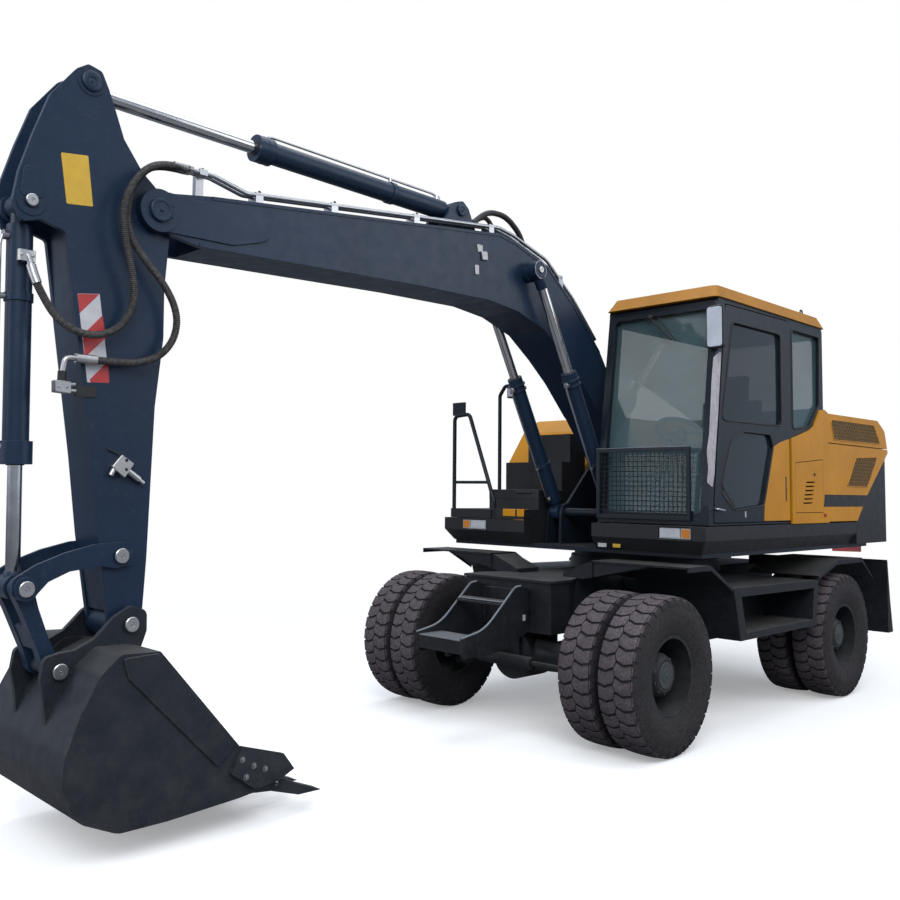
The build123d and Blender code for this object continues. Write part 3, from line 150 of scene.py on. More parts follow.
class Look:
    """Nodes being added to a tree, with its shader and the object's own coordinates."""

    def __init__(self, tree, shader):
        self.tree = tree
        self.shader = tree.nodes[shader]
        self.place = self.add("ShaderNodeTexCoord").outputs["Object"]

    def give(self, values, node=None):
        """Sets inputs of the shader, or of a node, from numbers, colours or links."""
        inputs = (node or self.shader).inputs
        for key, value in values.items():
            if isinstance(value, bpy.types.NodeSocket):
                self.tree.links.new(value, inputs[key])
            else:
                inputs[key].default_value = value

    def add(self, kind, values=None, **properties):
        """A node with its properties set and its inputs given."""
        node = self.tree.nodes.new(kind)
        for key, value in properties.items():
            setattr(node, key, value)
        self.give(values or {}, node)
        return node

    def noise(self, scale, detail=4.0, rough=0.6, vector=None):
        """Noise in the object's own coordinates, or along another vector."""
        values = {"Vector": vector or self.place, "Scale": scale, "Detail": detail, "Roughness": rough}
        return self.add("ShaderNodeTexNoise", values).outputs["Fac"]

    def ramp(self, value, low, high, low_out=0.0, high_out=1.0):
        """A value mapped between limits and held inside them."""
        values = {"Value": value, "From Min": low, "From Max": high, "To Min": low_out, "To Max": high_out}
        return self.add("ShaderNodeMapRange", values).outputs["Result"]

    def cloud(self, scale, detail, low, high, low_out=0.0, high_out=1.0, rough=0.6):
        """Noise mapped between limits."""
        return self.ramp(self.noise(scale, detail, rough), low, high, low_out, high_out)

    def mix(self, factor, first, second):
        """Two colours, either given or linked, mixed by a factor."""
        first, second = ((*c, 1.0) if isinstance(c, tuple) else c for c in (first, second))
        values = {"Factor": factor, "A": first, "B": second}
        return self.add("ShaderNodeMix", values, data_type="RGBA").outputs["Result"]

    def mottled(self, colour, share, factor):
        """A colour that a factor darkens to a share of it."""
        return self.mix(factor, tuple(share * c for c in colour), colour)

    def scalar(self, operation, first, second):
        """One step of arithmetic on values or links."""
        return self.add("ShaderNodeMath", {0: first, 1: second}, operation=operation).outputs["Value"]

    def height_of(self, vector):
        """A vector's upward part."""
        return self.add("ShaderNodeSeparateXYZ", {0: vector}).outputs["Z"]

    def edge_mask(self, radius):
        """1 along sharp edges, 0 elsewhere, with the rounded normal that finds them."""
        softened = self.add("ShaderNodeBevel", {"Radius": radius}, samples=4).outputs["Normal"]
        plain = self.add("ShaderNodeNewGeometry").outputs["Normal"]
        dot = self.add("ShaderNodeVectorMath", {0: softened, 1: plain}, operation="DOT_PRODUCT")
        return self.ramp(dot.outputs["Value"], 0.93, 0.999, 1.0, 0.0), softened

    def facing_up(self):
        """1 on faces that look up, where dust settles."""
        normal = self.add("ShaderNodeNewGeometry").outputs["Normal"]
        return self.ramp(self.height_of(normal), 0.55, 0.98)

    def relief(self, height, strength, distance, **more):
        """Gives the shader a normal that follows a height."""
        values = {"Height": height, "Strength": strength, "Distance": distance, **more}
        self.give({"Normal": self.add("ShaderNodeBump", values).outputs["Normal"]})


def new_look(name):
    """The nodes of a new material, which MATERIALS keeps under its name."""
    MATERIALS[name] = bpy.data.materials.new(name)
    MATERIALS[name].use_nodes = True
    return Look(MATERIALS[name].node_tree, "Principled BSDF")


def paint(name, colour, roughness=0.38, dust=(0.20, 0.19, 0.17), dust_up=0.25, dust_low=0.0,
          edge_wear_and_highlight=None, edge_wear_and_highlight_amount=0.25, bump=0.06, edge=0.003):
    """Sprayed paint: slight orange peel, shade variation, dust on upper faces, and edges lightened partly by
    wear and partly as a painted highlight.
    """
    look = new_look(name)
    base = look.mottled(colour, 0.80, look.cloud(2.2, 5.0, 0.30, 0.70))
    spots = look.cloud(34.0, 6.0, 0.56, 0.78, rough=0.7)
    patches = look.cloud(6.0, 6.0, 0.25, 0.75, 0.4 * dust_up, dust_up)
    top = look.scalar("MULTIPLY", look.facing_up(), patches)
    cover = look.scalar("ADD", top, look.scalar("MULTIPLY", spots, 0.35 * dust_up))
    if dust_low:
        near_ground = look.ramp(look.height_of(look.place), 1.5, 0.3)
        splashes = look.cloud(9.0, 6.0, 0.35, 0.7, 0.2 * dust_low, dust_low, rough=0.65)
        cover = look.scalar("ADD", cover, look.scalar("MULTIPLY", near_ground, splashes))
    base = look.mix(cover, base, dust)
    edges, softened = look.edge_mask(edge)
    # Sharp edges take a lighter colour: partly worn paint, partly a painted highlight.
    if edge_wear_and_highlight is not None:
        rub_and_highlight = look.scalar("MULTIPLY", edges, look.cloud(18.0, 5.0, 0.45, 0.62, 0.0, edge_wear_and_highlight_amount))
        base = look.mix(rub_and_highlight, base, edge_wear_and_highlight)
    gloss = look.cloud(12.0, 5.0, 0.3, 0.7, roughness - 0.05, roughness + 0.09)
    look.give({"Base Color": base, "Roughness": look.scalar("ADD", gloss, look.scalar("MULTIPLY", cover, 0.4)),
               "Specular IOR Level": 0.22, "Coat Weight": 0.05, "Coat Roughness": 0.3})
    look.relief(look.noise(160.0, 2.0), bump, 0.0015, Normal=softened)


def metal(name, colour, roughness, streak=0.05, scale=(300.0, 6.0, 300.0)):
    """Bare or plated metal with fine streaks and cloudy gloss."""
    look = new_look(name)
    stretch = look.add("ShaderNodeVectorMath", {0: look.place, 1: scale}, operation="MULTIPLY")
    lines = look.noise(1.0, 3.0, vector=stretch.outputs["Vector"])
    haze = look.noise(7.0, 4.0)
    gloss = look.scalar("ADD", look.ramp(lines, 0.3, 0.7, roughness - streak, roughness + streak),
                        look.ramp(haze, 0.3, 0.7, 0.0, 0.05))
    look.give({"Base Color": look.mottled(colour, 0.85, look.ramp(haze, 0.35, 0.65)), "Metallic": 1.0,
               "Roughness": gloss})


def rubber(name, colour, dust, amount, roughness=0.8, bump=0.25, scale=60.0):
    """Rubber with dust in its pores."""
    look = new_look(name)
    grains = look.cloud(scale, 8.0, 0.38, 0.66, rough=0.7)
    patches = look.cloud(5.0, 4.0, 0.3, 0.7, 0.35 * amount, amount)
    look.give({"Base Color": look.mix(look.scalar("MULTIPLY", grains, patches), colour, dust),
               "Roughness": look.cloud(22.0, 4.0, 0.3, 0.7, roughness - 0.1, roughness + 0.1),
               "Specular IOR Level": 0.35})
    look.relief(look.noise(4 * scale, 4.0), bump, 0.002)


def plastic(name, colour, roughness=0.55, grain=350.0):
    """Moulded plastic with a fine grain."""
    look = new_look(name)
    look.give({"Base Color": look.mottled(colour, 0.8, look.cloud(8.0, 5.0, 0.3, 0.7)),
               "Roughness": look.cloud(25.0, 4.0, 0.3, 0.7, roughness - 0.07, roughness + 0.07)})
    look.relief(look.noise(grain, 2.0), 0.12, 0.0008)


def tinted_glass(name, colour, clear=0.55):
    """Flat tinted glass: part see-through, part mirror, with faint smears."""
    look = new_look(name)
    look.give({"Roughness": look.cloud(3.0, 6.0, 0.35, 0.75, 0.02, 0.10, rough=0.65),
               "Base Color": look.mottled(colour, 0.7, look.cloud(1.3, 3.0, 0.35, 0.65)),
               "IOR": 1.5, "Transmission Weight": 0.0, "Alpha": clear, "Specular IOR Level": 0.3,
               "Coat Weight": 0.25, "Coat Roughness": 0.03})


def cloth(name, colour):
    """Woven seat cloth."""
    look = new_look(name)
    threads = {"Vector": look.place, "Scale": 160.0, "Distortion": 1.5}
    waves = [look.add("ShaderNodeTexWave", threads, bands_direction=axis).outputs["Fac"] for axis in "XZ"]
    weave = look.scalar("MULTIPLY", *waves)
    look.give({"Base Color": look.mottled(colour, 0.6, weave), "Roughness": 0.9, "Sheen Weight": 0.3})
    look.relief(weave, 0.3, 0.001)


def grey(value):
    """A neutral colour."""
    return (value, value, value)


NAVY = (0.010, 0.024, 0.052)
YELLOW = (0.56, 0.232, 0.003)
WORN_AND_HIGHLIT_YELLOW = (0.66, 0.42, 0.12)
DUST = (0.21, 0.20, 0.185)

# Each worn colour lightens its paint's edges, as wear and as a painted highlight.
paint("boom_paint", NAVY, 0.36, edge_wear_and_highlight=grey(0.16), edge_wear_and_highlight_amount=0.12)
paint("bucket_paint", (0.011, 0.015, 0.023), 0.46, edge_wear_and_highlight=(0.22, 0.21, 0.20), edge_wear_and_highlight_amount=0.35, dust_low=0.12)
paint("cab_paint", (0.009, 0.014, 0.022), 0.34, edge_wear_and_highlight=(0.10, 0.10, 0.11), edge_wear_and_highlight_amount=0.1)
paint("yellow_paint", YELLOW, 0.36, dust=(0.46, 0.33, 0.18), dust_up=0.25, edge_wear_and_highlight=WORN_AND_HIGHLIT_YELLOW, edge_wear_and_highlight_amount=0.2)
paint("roof_paint", (0.40, 0.17, 0.012), 0.5, dust=(0.40, 0.29, 0.19), dust_up=0.5, edge_wear_and_highlight=WORN_AND_HIGHLIT_YELLOW,
      edge_wear_and_highlight_amount=0.2)
paint("grey_paint", (0.019, 0.019, 0.022), 0.42, edge_wear_and_highlight=grey(0.12), edge_wear_and_highlight_amount=0.2)
paint("chassis_paint", (0.007, 0.009, 0.013), 0.45, dust=DUST, dust_up=0.35, dust_low=0.10, edge_wear_and_highlight=grey(0.20),
      edge_wear_and_highlight_amount=0.3)
paint("rim_paint", (0.012, 0.014, 0.017), 0.5, dust=DUST, dust_up=0.15, dust_low=0.12, edge_wear_and_highlight=grey(0.16),
      edge_wear_and_highlight_amount=0.3)
paint("hub_paint", (0.040, 0.050, 0.054), 0.5, dust=DUST, dust_up=0.3, dust_low=0.15, edge_wear_and_highlight=grey(0.22),
      edge_wear_and_highlight_amount=0.4)
rubber("tyre", (0.011, 0.010, 0.011), (0.065, 0.056, 0.060), 0.6)
rubber("tread", (0.052, 0.043, 0.048), (0.185, 0.155, 0.170), 0.75)
paint("engine", grey(0.10), 0.6)
metal("chrome", grey(0.55), 0.16)
metal("pipe", (0.40, 0.41, 0.43), 0.26)
paint("mesh", (0.24, 0.135, 0.035), 0.5, bump=0.02, edge=0.001)
plastic("black", (0.010, 0.010, 0.011), 0.6)
# Pale bluish paint used as a painted highlight on the tops of dark parts.
paint("pale_highlight", (0.20, 0.22, 0.25), 0.5, dust=DUST, dust_up=0.3)
metal("plated", grey(0.50), 0.34)
metal("steel", (0.35, 0.35, 0.36), 0.42)
rubber("hose", (0.018, 0.018, 0.019), (0.15, 0.14, 0.13), 0.6, roughness=0.55, bump=0.1)
tinted_glass("glass", (0.085, 0.150, 0.165), 0.44)
tinted_glass("door_glass", (0.014, 0.027, 0.036), 0.72)
cloth("seat", (0.05, 0.05, 0.055))
plastic("plastic", (0.030, 0.031, 0.034))
plastic("lamp", (0.48, 0.50, 0.53), 0.18)
plastic("amber", (0.60, 0.20, 0.02), 0.2)
plastic("red", (0.42, 0.03, 0.03), 0.35)
plastic("white_film", (0.50, 0.49, 0.52), 0.35)
plastic("yellow_film", (0.58, 0.36, 0.03), 0.35)
# Pale bluish plastic that paints a reflection on the mirror's front face.
plastic("mirror_painted_reflection", (0.50, 0.55, 0.62), 0.2)
rubber("wrap", (0.34, 0.32, 0.35), (0.60, 0.57, 0.60), 0.8, roughness=0.85, bump=0.5, scale=18.0)

NODE_MATERIAL = {
    "boom_paint": ["boom", "arm", "bucket_side_links", "bucket_h_link", "boom_cylinder_barrels",
                   "arm_cylinder_barrel", "bucket_cylinder_barrel"],
    "bucket_paint": ["bucket"],
    "cab_paint": ["cab_frame", "cab_door", "cab_guard", "upper_frame", "handrails", "cab_mirror"],
    "yellow_paint": ["engine_hood", "side_door_left", "side_door_right", "side_panels", "filter_hatch"],
    "roof_paint": ["cab_roof"],
    "grey_paint": ["counterweight", "lower_skirts", "right_boxes"],
    "chassis_paint": ["chassis_frame", "front_steps", "side_step_boxes", "fenders", "rear_flaps", "front_axle",
                      "rear_axle", "knuckle_left", "knuckle_right", "tie_rods"],
    "rim_paint": ["rim_front_left", "rim_front_right", "rim_rear_left", "rim_rear_right"],
    "engine": ["engine_block"],
    "chrome": ["boom_cylinder_rods", "arm_cylinder_rod", "bucket_cylinder_rod"],
    "pipe": ["boom_pipes"],
    "glass": ["cab_glass"],
    "door_glass": ["door_glass"],
    "seat": ["cab_seat"],
    "plastic": ["cab_controls"],
    "lamp": ["lamps"],
}


def dress_nodes():
    """Gives each CAD node that stays in view its material."""
    for slot, names in NODE_MATERIAL.items():
        for name in names:
            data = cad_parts[name].data
            data.materials.clear()
            data.materials.append(MATERIALS[slot])


# Mesh building

def piece(name, mesh, material, body, smooth=True):
    """An object from a bmesh, dressed, and riding on a body."""
    data = bpy.data.meshes.new(name)
    bmesh.ops.recalc_face_normals(mesh, faces=mesh.faces)
    mesh.to_mesh(data)
    mesh.free()
    if smooth:
        data.shade_smooth()
        data.set_sharp_from_angle(angle=math.radians(35))
    data.materials.append(MATERIALS[material])
    made = bpy.data.objects.new(name, data)
    bpy.context.scene.collection.objects.link(made)
    if body:
        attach(made, body)
    return made


def build(name, material, body, slot, *parts, smooth=True):
    """A piece from parts, each a function that adds to a mesh, followed by its values."""
    mesh = bmesh.new()
    for maker, *values in parts:
        maker(mesh, *values)
    return piece(name, mesh, material, body, smooth)


def circle(centre, a, b, radius, count):
    """Points round a centre, in the plane of two directions."""
    turns = [2 * math.pi * k / count for k in range(count)]
    return [centre + radius * (math.cos(t) * a + math.sin(t) * b) for t in turns]


def skin(mesh, rings, ends=True, loop=False):
    """Faces from ring to ring of points, over both ends or back to the first ring.

    Returns the faces between the rings, each with its first ring's corner first.
    """
    rings = [[mesh.verts.new(point) for point in ring] for ring in rings]
    walls = []
    following = rings[1:] + rings[:1] if loop else rings[1:]
    for first, second in zip(rings, following):
        for k, corner in enumerate(first):
            after = (k + 1) % len(first)
            walls.append(mesh.faces.new((corner, first[after], second[after], second[k])))
    if ends:
        mesh.faces.new(rings[0])
        mesh.faces.new(rings[-1])
    return walls


def ring_frames(points):
    """Two cross directions at each point of a route, carried along without twist."""
    tangents = []
    for index in range(len(points)):
        before = points[max(index - 1, 0)]
        after = points[min(index + 1, len(points) - 1)]
        tangents.append((after - before).normalized())
    side = tangents[0].orthogonal().normalized()
    frames = []
    for tangent in tangents:
        side = (side - tangent * side.dot(tangent)).normalized()
        frames.append((side, tangent.cross(side)))
    return frames


def tube(mesh, points, radius, sides=12):
    """Adds a round tube along points. radius is a number or a function of the ring's index."""
    frames = ring_frames(points)
    skin(mesh, [circle(centre, a, b, radius(index) if callable(radius) else radius, sides)
                for index, (centre, (a, b)) in enumerate(zip(points, frames))])


def smooth_route(points, steps=12):
    """Points along a NURBS line whose control points are the route's."""
    curve = bpy.data.curves.new("route", "CURVE")
    curve.dimensions = "3D"
    curve.resolution_u = steps
    spline = curve.splines.new("NURBS")
    spline.points.add(len(points) - 1)
    for point, place in zip(spline.points, points):
        point.co = (*place, 1.0)
    spline.order_u = 3
    spline.use_endpoint_u = True
    holder = bpy.data.objects.new("route", curve)
    mesh = bpy.data.meshes.new_from_object(holder)
    line = [v.co.copy() for v in mesh.vertices]
    bpy.data.objects.remove(holder)
    bpy.data.curves.remove(curve)
    bpy.data.meshes.remove(mesh)
    return line


def even_steps(line, step):
    """The same line with points a set distance apart."""
    out = [line[0]]
    left = step
    for a, b in zip(line, line[1:]):
        run = (b - a).length
        travelled = left
        while travelled <= run:
            out.append(a.lerp(b, travelled / run))
            travelled += step
        left = travelled - run
    return out


def make_hose(name, route, node):
    """A hose in a ribbed sleeve along a curved route from the boom to the arm."""
    line = even_steps(smooth_route([Vector(p) for p in route], 24), 0.005)
    ribs = (tube, line, lambda index: HOSE_R if index % 2 else HOSE_R - HOSE_RIB, 14)
    made = build(name, "hose", None, "hose", ribs, smooth=False)
    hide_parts(node)
    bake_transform(made)


# Outlines and solids built from them

def eased(start, corner, end, steps):
    """Points along the curve that takes a corner's place."""
    return [(1 - t) ** 2 * start + 2 * t * (1 - t) * corner + t ** 2 * end
            for t in (step / steps for step in range(steps + 1))]


def rounded(points, radius, steps=4):
    """A closed outline in two coordinates with each corner rounded."""
    out = []
    count = len(points)
    for index, corner in enumerate(points):
        here = Vector(corner)
        back = Vector(points[index - 1]) - here
        ahead = Vector(points[(index + 1) % count]) - here
        half = back.angle(ahead) / 2
        size = min(radius / math.tan(half), 0.45 * back.length, 0.45 * ahead.length)
        out += eased(here + size * back.normalized(), here, here + size * ahead.normalized(), steps)
    return out


def mitre(before, after):
    """The sum of two directions' left normals."""
    return Vector((-(before.y + after.y), before.x + after.x))


def inset(points, distance):
    """The outline drawn in along its corners' bisectors."""
    count = len(points)
    area = sum(points[k - 1].x * points[k].y - points[k].x * points[k - 1].y for k in range(count))
    sign = 1 if area > 0 else -1
    out = []
    for index, here in enumerate(points):
        before = (here - points[index - 1]).normalized()
        after = (points[(index + 1) % count] - here).normalized()
        bisector = mitre(before, after)
        scale = max(bisector.length ** 2 / 2, 0.5)
        out.append(here + sign * distance * bisector / scale)
    return out


def beside(line, distance):
    """An open line drawn aside by a distance, with mitred corners."""
    line = [Vector(q) for q in line]
    out = []
    for index, here in enumerate(line):
        before = (here - line[index - 1]).normalized() if index else (line[1] - here).normalized()
        after = (line[index + 1] - here).normalized() if index + 1 < len(line) else before
        bisector = mitre(before, after)
        out.append(here + distance * bisector * 2 / bisector.length ** 2)
    return out


def on_side(x, z, y):
    """Places outline coordinates in a plane along X and Z."""
    return at(x, y, z)


def on_front(y, z, x):
    """Places outline coordinates in a plane along Y and Z."""
    return at(x, y, z)


def slab(mesh, points, place, low, high, edge=0.8):
    """Adds a plate with softened edges. place turns two outline coordinates and a depth into a point."""
    edge = math.copysign(edge, high - low)
    layers = ((points, low), (points, high - edge), (inset(points, edge), high))
    skin(mesh, [[place(q.x, q.y, depth) for q in ring] for ring, depth in layers])


def prism(mesh, points, place, low, high):
    """A plate with square corners between two depths."""
    slab(mesh, [Vector(q) for q in points], place, low, high, 0.4)


def side_slab(mesh, points, low, high, radius=6.0, edge=0.8):
    """A plate standing in X and Z between two Y values. low is the face that rests on the part."""
    slab(mesh, rounded(points, radius), on_side, low, high, edge)


def side_pair(mesh, points, low, high, radius=6.0, edge=0.8):
    """The same side plate on the left and on the right."""
    for sign in SIDES:
        side_slab(mesh, points, sign * low, sign * high, radius, edge)


def front_slab(mesh, points, low, high, radius=6.0, edge=0.8):
    """A plate standing in Y and Z between two X values."""
    slab(mesh, rounded(points, radius), on_front, low, high, edge)


def level_slab(mesh, points, low, high, radius=6.0, edge=0.8):
    """A plate lying in X and Y between two Z values."""
    slab(mesh, rounded(points, radius), at, low, high, edge)


def corners_of(low, high):
    """The corners of an upright rectangle between two corners."""
    (x0, y0), (x1, y1) = low, high
    return [(x0, y0), (x1, y0), (x1, y1), (x0, y1)]


def box_slab(mesh, x_range, y_range, z_range, radius=5.0, edge=2.0):
    """A block with rounded upright corners and a softened top."""
    level_slab(mesh, corners_of(*zip(x_range, y_range)), *z_range, radius, edge)


def front_box(mesh, y_range, z_range, x_range, radius=6.0, edge=0.8):
    """A plate of rectangular outline that stands across the machine."""
    front_slab(mesh, corners_of(*zip(y_range, z_range)), *x_range, radius, edge)


def turned(mesh, centre, axis, profile, segments=24):
    """Adds a turned form. profile lists distance along the axis and radius, in millimetres."""
    axis = Vector(axis).normalized()
    side = axis.orthogonal().normalized()
    other = axis.cross(side)
    skin(mesh, [circle(centre + axis * along / 1000, side, other, max(radius, 0.05) / 1000, segments)
                for along, radius in profile])


def pair(mesh, maker, pin, y, *values):
    """The same turned form at a pin on both sides, facing outward."""
    for sign in SIDES:
        maker(mesh, at(pin[0], sign * y, pin[1]), (0, sign, 0), *values)


def cap(mesh, centre, axis, radius, height):
    """A pin's head with a chamfer and a greasing point in a hollow."""
    rim = [(-4, radius), (height - 3, radius), (height, radius - 4), (height, 0.32 * radius)]
    hollow = [(height - 3, 0.26 * radius), (height - 3, 0.13 * radius), (height + 4, 0.1 * radius)]
    turned(mesh, centre, axis, rim + hollow)


def bolt(mesh, centre, axis, across=12.0, height=9.0):
    """A hexagon bolt head on its washer."""
    turned(mesh, centre, axis, [(-1, 0.95 * across), (2, 0.95 * across)], 16)
    turned(mesh, centre, axis, [(1, 0.62 * across), (height - 1.5, 0.62 * across), (height, 0.5 * across)], 6)


def rod(mesh, points, radius, sides=12):
    """A round bar along points."""
    tube(mesh, [at(*q) for q in points], radius / 1000, sides)


def bent_rod(mesh, points, bend, radius, sides=12, steps=6):
    """A round bar along straight runs joined by curved corners."""
    line = [Vector(points[0])]
    for before, here, after in zip(points, points[1:], points[2:]):
        here = Vector(here)
        back, ahead = Vector(before) - here, Vector(after) - here
        size = min(bend, 0.45 * back.length, 0.45 * ahead.length)
        line += eased(here + size * back.normalized(), here, here + size * ahead.normalized(), steps)
    rod(mesh, line + [Vector(points[-1])], radius, sides)


def frame_round(mesh, corners, radius, bend, steps, place, depth):
    """A round moulding along a closed outline whose corners are rounded."""
    line = rounded(corners, bend, steps)
    tube(mesh, [place(q.x, q.y, depth) for q in line + line[:1]], radius / 1000, 8)


# Tyres

# Half a casing's outline, as distance from its middle and radius, and the rings raised on its wall
CASING = [(0.103, 0.262), (0.112, 0.276), (0.120, 0.300), (0.1305, 0.335), (0.1375, 0.372), (0.1385, 0.400),
          (0.1365, 0.430), (0.1325, 0.458), (0.1260, 0.482), (0.1170, 0.502)]
RAISED_RINGS = ((0.392, 0.002), (0.352, 0.0015))

# A tread block's levels, as drop below the tread and how far the outline shrinks
BLOCK_LEVELS = ((0.0, 0.0035), (0.0025, 0.0), (TREAD_DEPTH + 0.002, -0.0025))

# Outer and inner line of a shoulder lug, as distance from the tyre's middle and drop
LUG_TOP = ((0.112, 0.009), (0.1245, 0.022), (0.1345, 0.052), (0.1335, 0.070))
LUG_UNDER = ((0.108, 0.022), (0.116, 0.032), (0.126, 0.056), (0.1295, 0.072))

HUB_PLATE = [(-2, 88), (3, 88), (6, 84), (6, 50), (10, 46), (10, 14), (14, 12)]


def tyre_point(x, y, turn, radius):
    """A point on a tyre at an angle round its axle."""
    return Vector((x + radius * math.sin(turn), y, TYRE_R + radius * math.cos(turn)))


def add_casing(mesh, x, middle):
    """A tyre's casing: bead, bulged walls with two rings, and the ground that the blocks stand on."""
    ground = TYRE_R - TREAD_DEPTH
    profile = []
    for w, r in CASING + [(0.100, ground), (0.050, ground + 0.001)]:
        lift = sum(h for level, h in RAISED_RINGS if abs(level - r) < 0.012)
        profile.append((w + lift, r))
    line = [(middle + w, r) for w, r in profile] + [(middle - w, r) for w, r in reversed(profile)]
    line += [(middle - 0.09, RIM_R + 0.001), (middle + 0.09, RIM_R + 0.001)]
    turns = [2 * math.pi * k / CASING_SEGMENTS for k in range(CASING_SEGMENTS)]
    skin(mesh, [[tyre_point(x, y, turn, r) for turn in turns] for y, r in line], ends=False, loop=True)


def add_block(mesh, x, middle, side, start, pitch):
    """One arrow-shaped tread block with its shoulder, on one side of the zigzag groove."""
    g = GROOVE / 2 / TYRE_R
    lean = 0.24 * pitch
    gap = 0.004
    outline = [(g, 0.004), (g + lean, 0.060), (g + 0.45 * lean, TREAD_HALF_W),
               (pitch - g + 0.45 * lean, TREAD_HALF_W), (pitch - g + lean, 0.060), (pitch - g, 0.004),
               (pitch / 2, -0.009)]
    middle_turn = start + pitch / 2
    rings = []
    for drop, shrink in BLOCK_LEVELS:
        ring = []
        for turn, w in outline:
            w += gap
            crown = 0.006 * (max(w, 0) / TREAD_HALF_W) ** 3
            near = (turn - pitch / 2) * (1 - shrink / 0.035)
            across = 0.058 + (w - 0.058) * (1 - shrink / 0.055)
            ring.append(tyre_point(x, middle + side * across, middle_turn + near, TYRE_R - crown - drop))
        rings.append(ring)
    rim = skin(mesh, rings, ends=False)[:len(outline)]
    for face in [*rim, mesh.faces.new([wall.verts[0] for wall in rim])]:
        face.material_index = 1
    # The shoulder lug runs down from the block over the casing's edge
    lug_turn = middle_turn + 0.45 * lean - 0.11 * pitch
    low, high = lug_turn - 0.30 * pitch, lug_turn + 0.30 * pitch
    outer, under = ([[mesh.verts.new(tyre_point(x, middle + side * w, turn, TYRE_R - drop)) for w, drop in rows]
                     for turn in turns]
                    for rows, turns in ((LUG_TOP, (low, high)), (LUG_UNDER, (low - 0.004, high + 0.004))))
    for k in range(len(LUG_TOP) - 1):
        top = mesh.faces.new((outer[0][k], outer[0][k + 1], outer[1][k + 1], outer[1][k]))
        top.material_index = 1 if k == 0 else 0
        for edge, below in zip(outer, under):
            mesh.faces.new((edge[k], edge[k + 1], below[k + 1], below[k]))
    mesh.faces.new((outer[0][-1], outer[1][-1], under[1][-1], under[0][-1]))


def make_tyres():
    """Twin tyres with block tread for each wheel, and the wheel's nuts and hub plate."""
    pitch = 2 * math.pi / TREAD_PITCHES
    for end, x in AXLE_X.items():
        for name, sign in (("left", 1), ("right", -1)):
            mesh = bmesh.new()
            for twin, y in enumerate(TWIN_Y):
                add_casing(mesh, x, sign * y)
                for index in range(TREAD_PITCHES):
                    start = (index + 0.37 * twin) * pitch
                    add_block(mesh, x, sign * y, 1, start, pitch)
                    add_block(mesh, x, sign * y, -1, start + pitch / 2, pitch)
            tyres = piece(f"tyre_pair_{end}_{name}", mesh, "tyre", f"wheel_{end}_{name}")
            tyres.data.materials.append(MATERIALS["tread"])
            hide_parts(f"tyres_{end}_{name}")
            fittings = bmesh.new()
            outward = (0, sign, 0)
            for index in range(WHEEL_NUTS):
                turn = 2 * math.pi * index / WHEEL_NUTS
                bolt(fittings, tyre_point(x, sign * 1.146, turn, NUT_CIRCLE_R), outward, 17.0, 22.0)
            turned(fittings, Vector((x, sign * 1.176, TYRE_R)), outward, HUB_PLATE, 32)
            piece(f"wheel_nuts_{end}_{name}", fittings, "hub_paint", f"wheel_{end}_{name}")


# Working arm

BACK_CLAMPS = [(1430, 3315), (2250, 3565), (3000, 3476), (3700, 3393), (4250, 3327)]
BOOM_BACK = [(912, 2860), (1263, 3194), (1600, 3440), (2000, 3552), (2160, 3575), (4559, 3290)]
BOOM_BELLY = [(4630, 3001), (3000, 3062), (2280, 3074), (1954, 3038), (1637, 2938), (1395, 2774), (1173, 2598),
              (912, 2339)]
FLANGE_W = 20

# Name, foot, eye, barrel's reach and radius, gland's radius, Y, side of the pipe, body
CYLINDERS = (
    ("arm_cylinder", ARM_CYLINDER_FOOT, ARM_HEAD_PIN, 1684, 65, 76, 0, 1, "arm_cylinder_barrel"),
    ("bucket_cylinder", BUCKET_CYLINDER_PIN, LINK_PIN, 1244, 61, 72, 0, 1, "bucket_cylinder_barrel"),
    ("boom_cylinder_left", BOOM_CYLINDER_FOOT, BOOM_CYLINDER_EYE, 1216, 55, 64, BOOM_CYLINDER_Y, -1,
     "boom_cylinder_barrels"),
    ("boom_cylinder_right", BOOM_CYLINDER_FOOT, BOOM_CYLINDER_EYE, 1216, 55, 64, -BOOM_CYLINDER_Y, -1,
     "boom_cylinder_barrels"),
)

# Name, foot, eye, its radius, half its width, end of the neck, Y of each, body
ROD_EYES = (
    ("boom", BOOM_CYLINDER_FOOT, BOOM_CYLINDER_EYE, 66, 38, 104, (BOOM_CYLINDER_Y, -BOOM_CYLINDER_Y),
     "boom_cylinder_rods"),
    ("arm", ARM_CYLINDER_FOOT, ARM_HEAD_PIN, 70, 54, 108, (0,), "arm_cylinder_rod"),
    ("bucket", BUCKET_CYLINDER_PIN, LINK_PIN, 60, 46, 34, (0,), "bucket_cylinder_rod"),
)


def flat_stripes():
    """The blank yellow sign and the red and white marker on the arm's left side."""
    face = ARM_SIDE_Y
    build("arm_sign", "yellow_film", "arm", "boom_paint",
          (side_slab, [(5386, 3326), (5248, 3345), (5214, 3096), (5349, 3081)], face, face + 1.5, 8))
    build("arm_marker_white", "white_film", "arm", "boom_paint",
          (side_slab, [(5278, 2651), (5164, 2667), (5097, 2229), (5213, 2221)], face, face + 1.2, 5))
    stripes = ([(5277, 2650), (5166, 2665), (5264, 2556)],
               [(5146, 2562), (5244, 2452), (5230, 2342), (5124, 2452)],
               [(5110, 2336), (5201, 2236), (5196, 2223), (5098, 2230)])
    build("arm_marker_red", "red", "arm", "boom_paint",
          *((side_slab, corners, face + 1.2, face + 1.9, 1.5, 0.3) for corners in stripes))


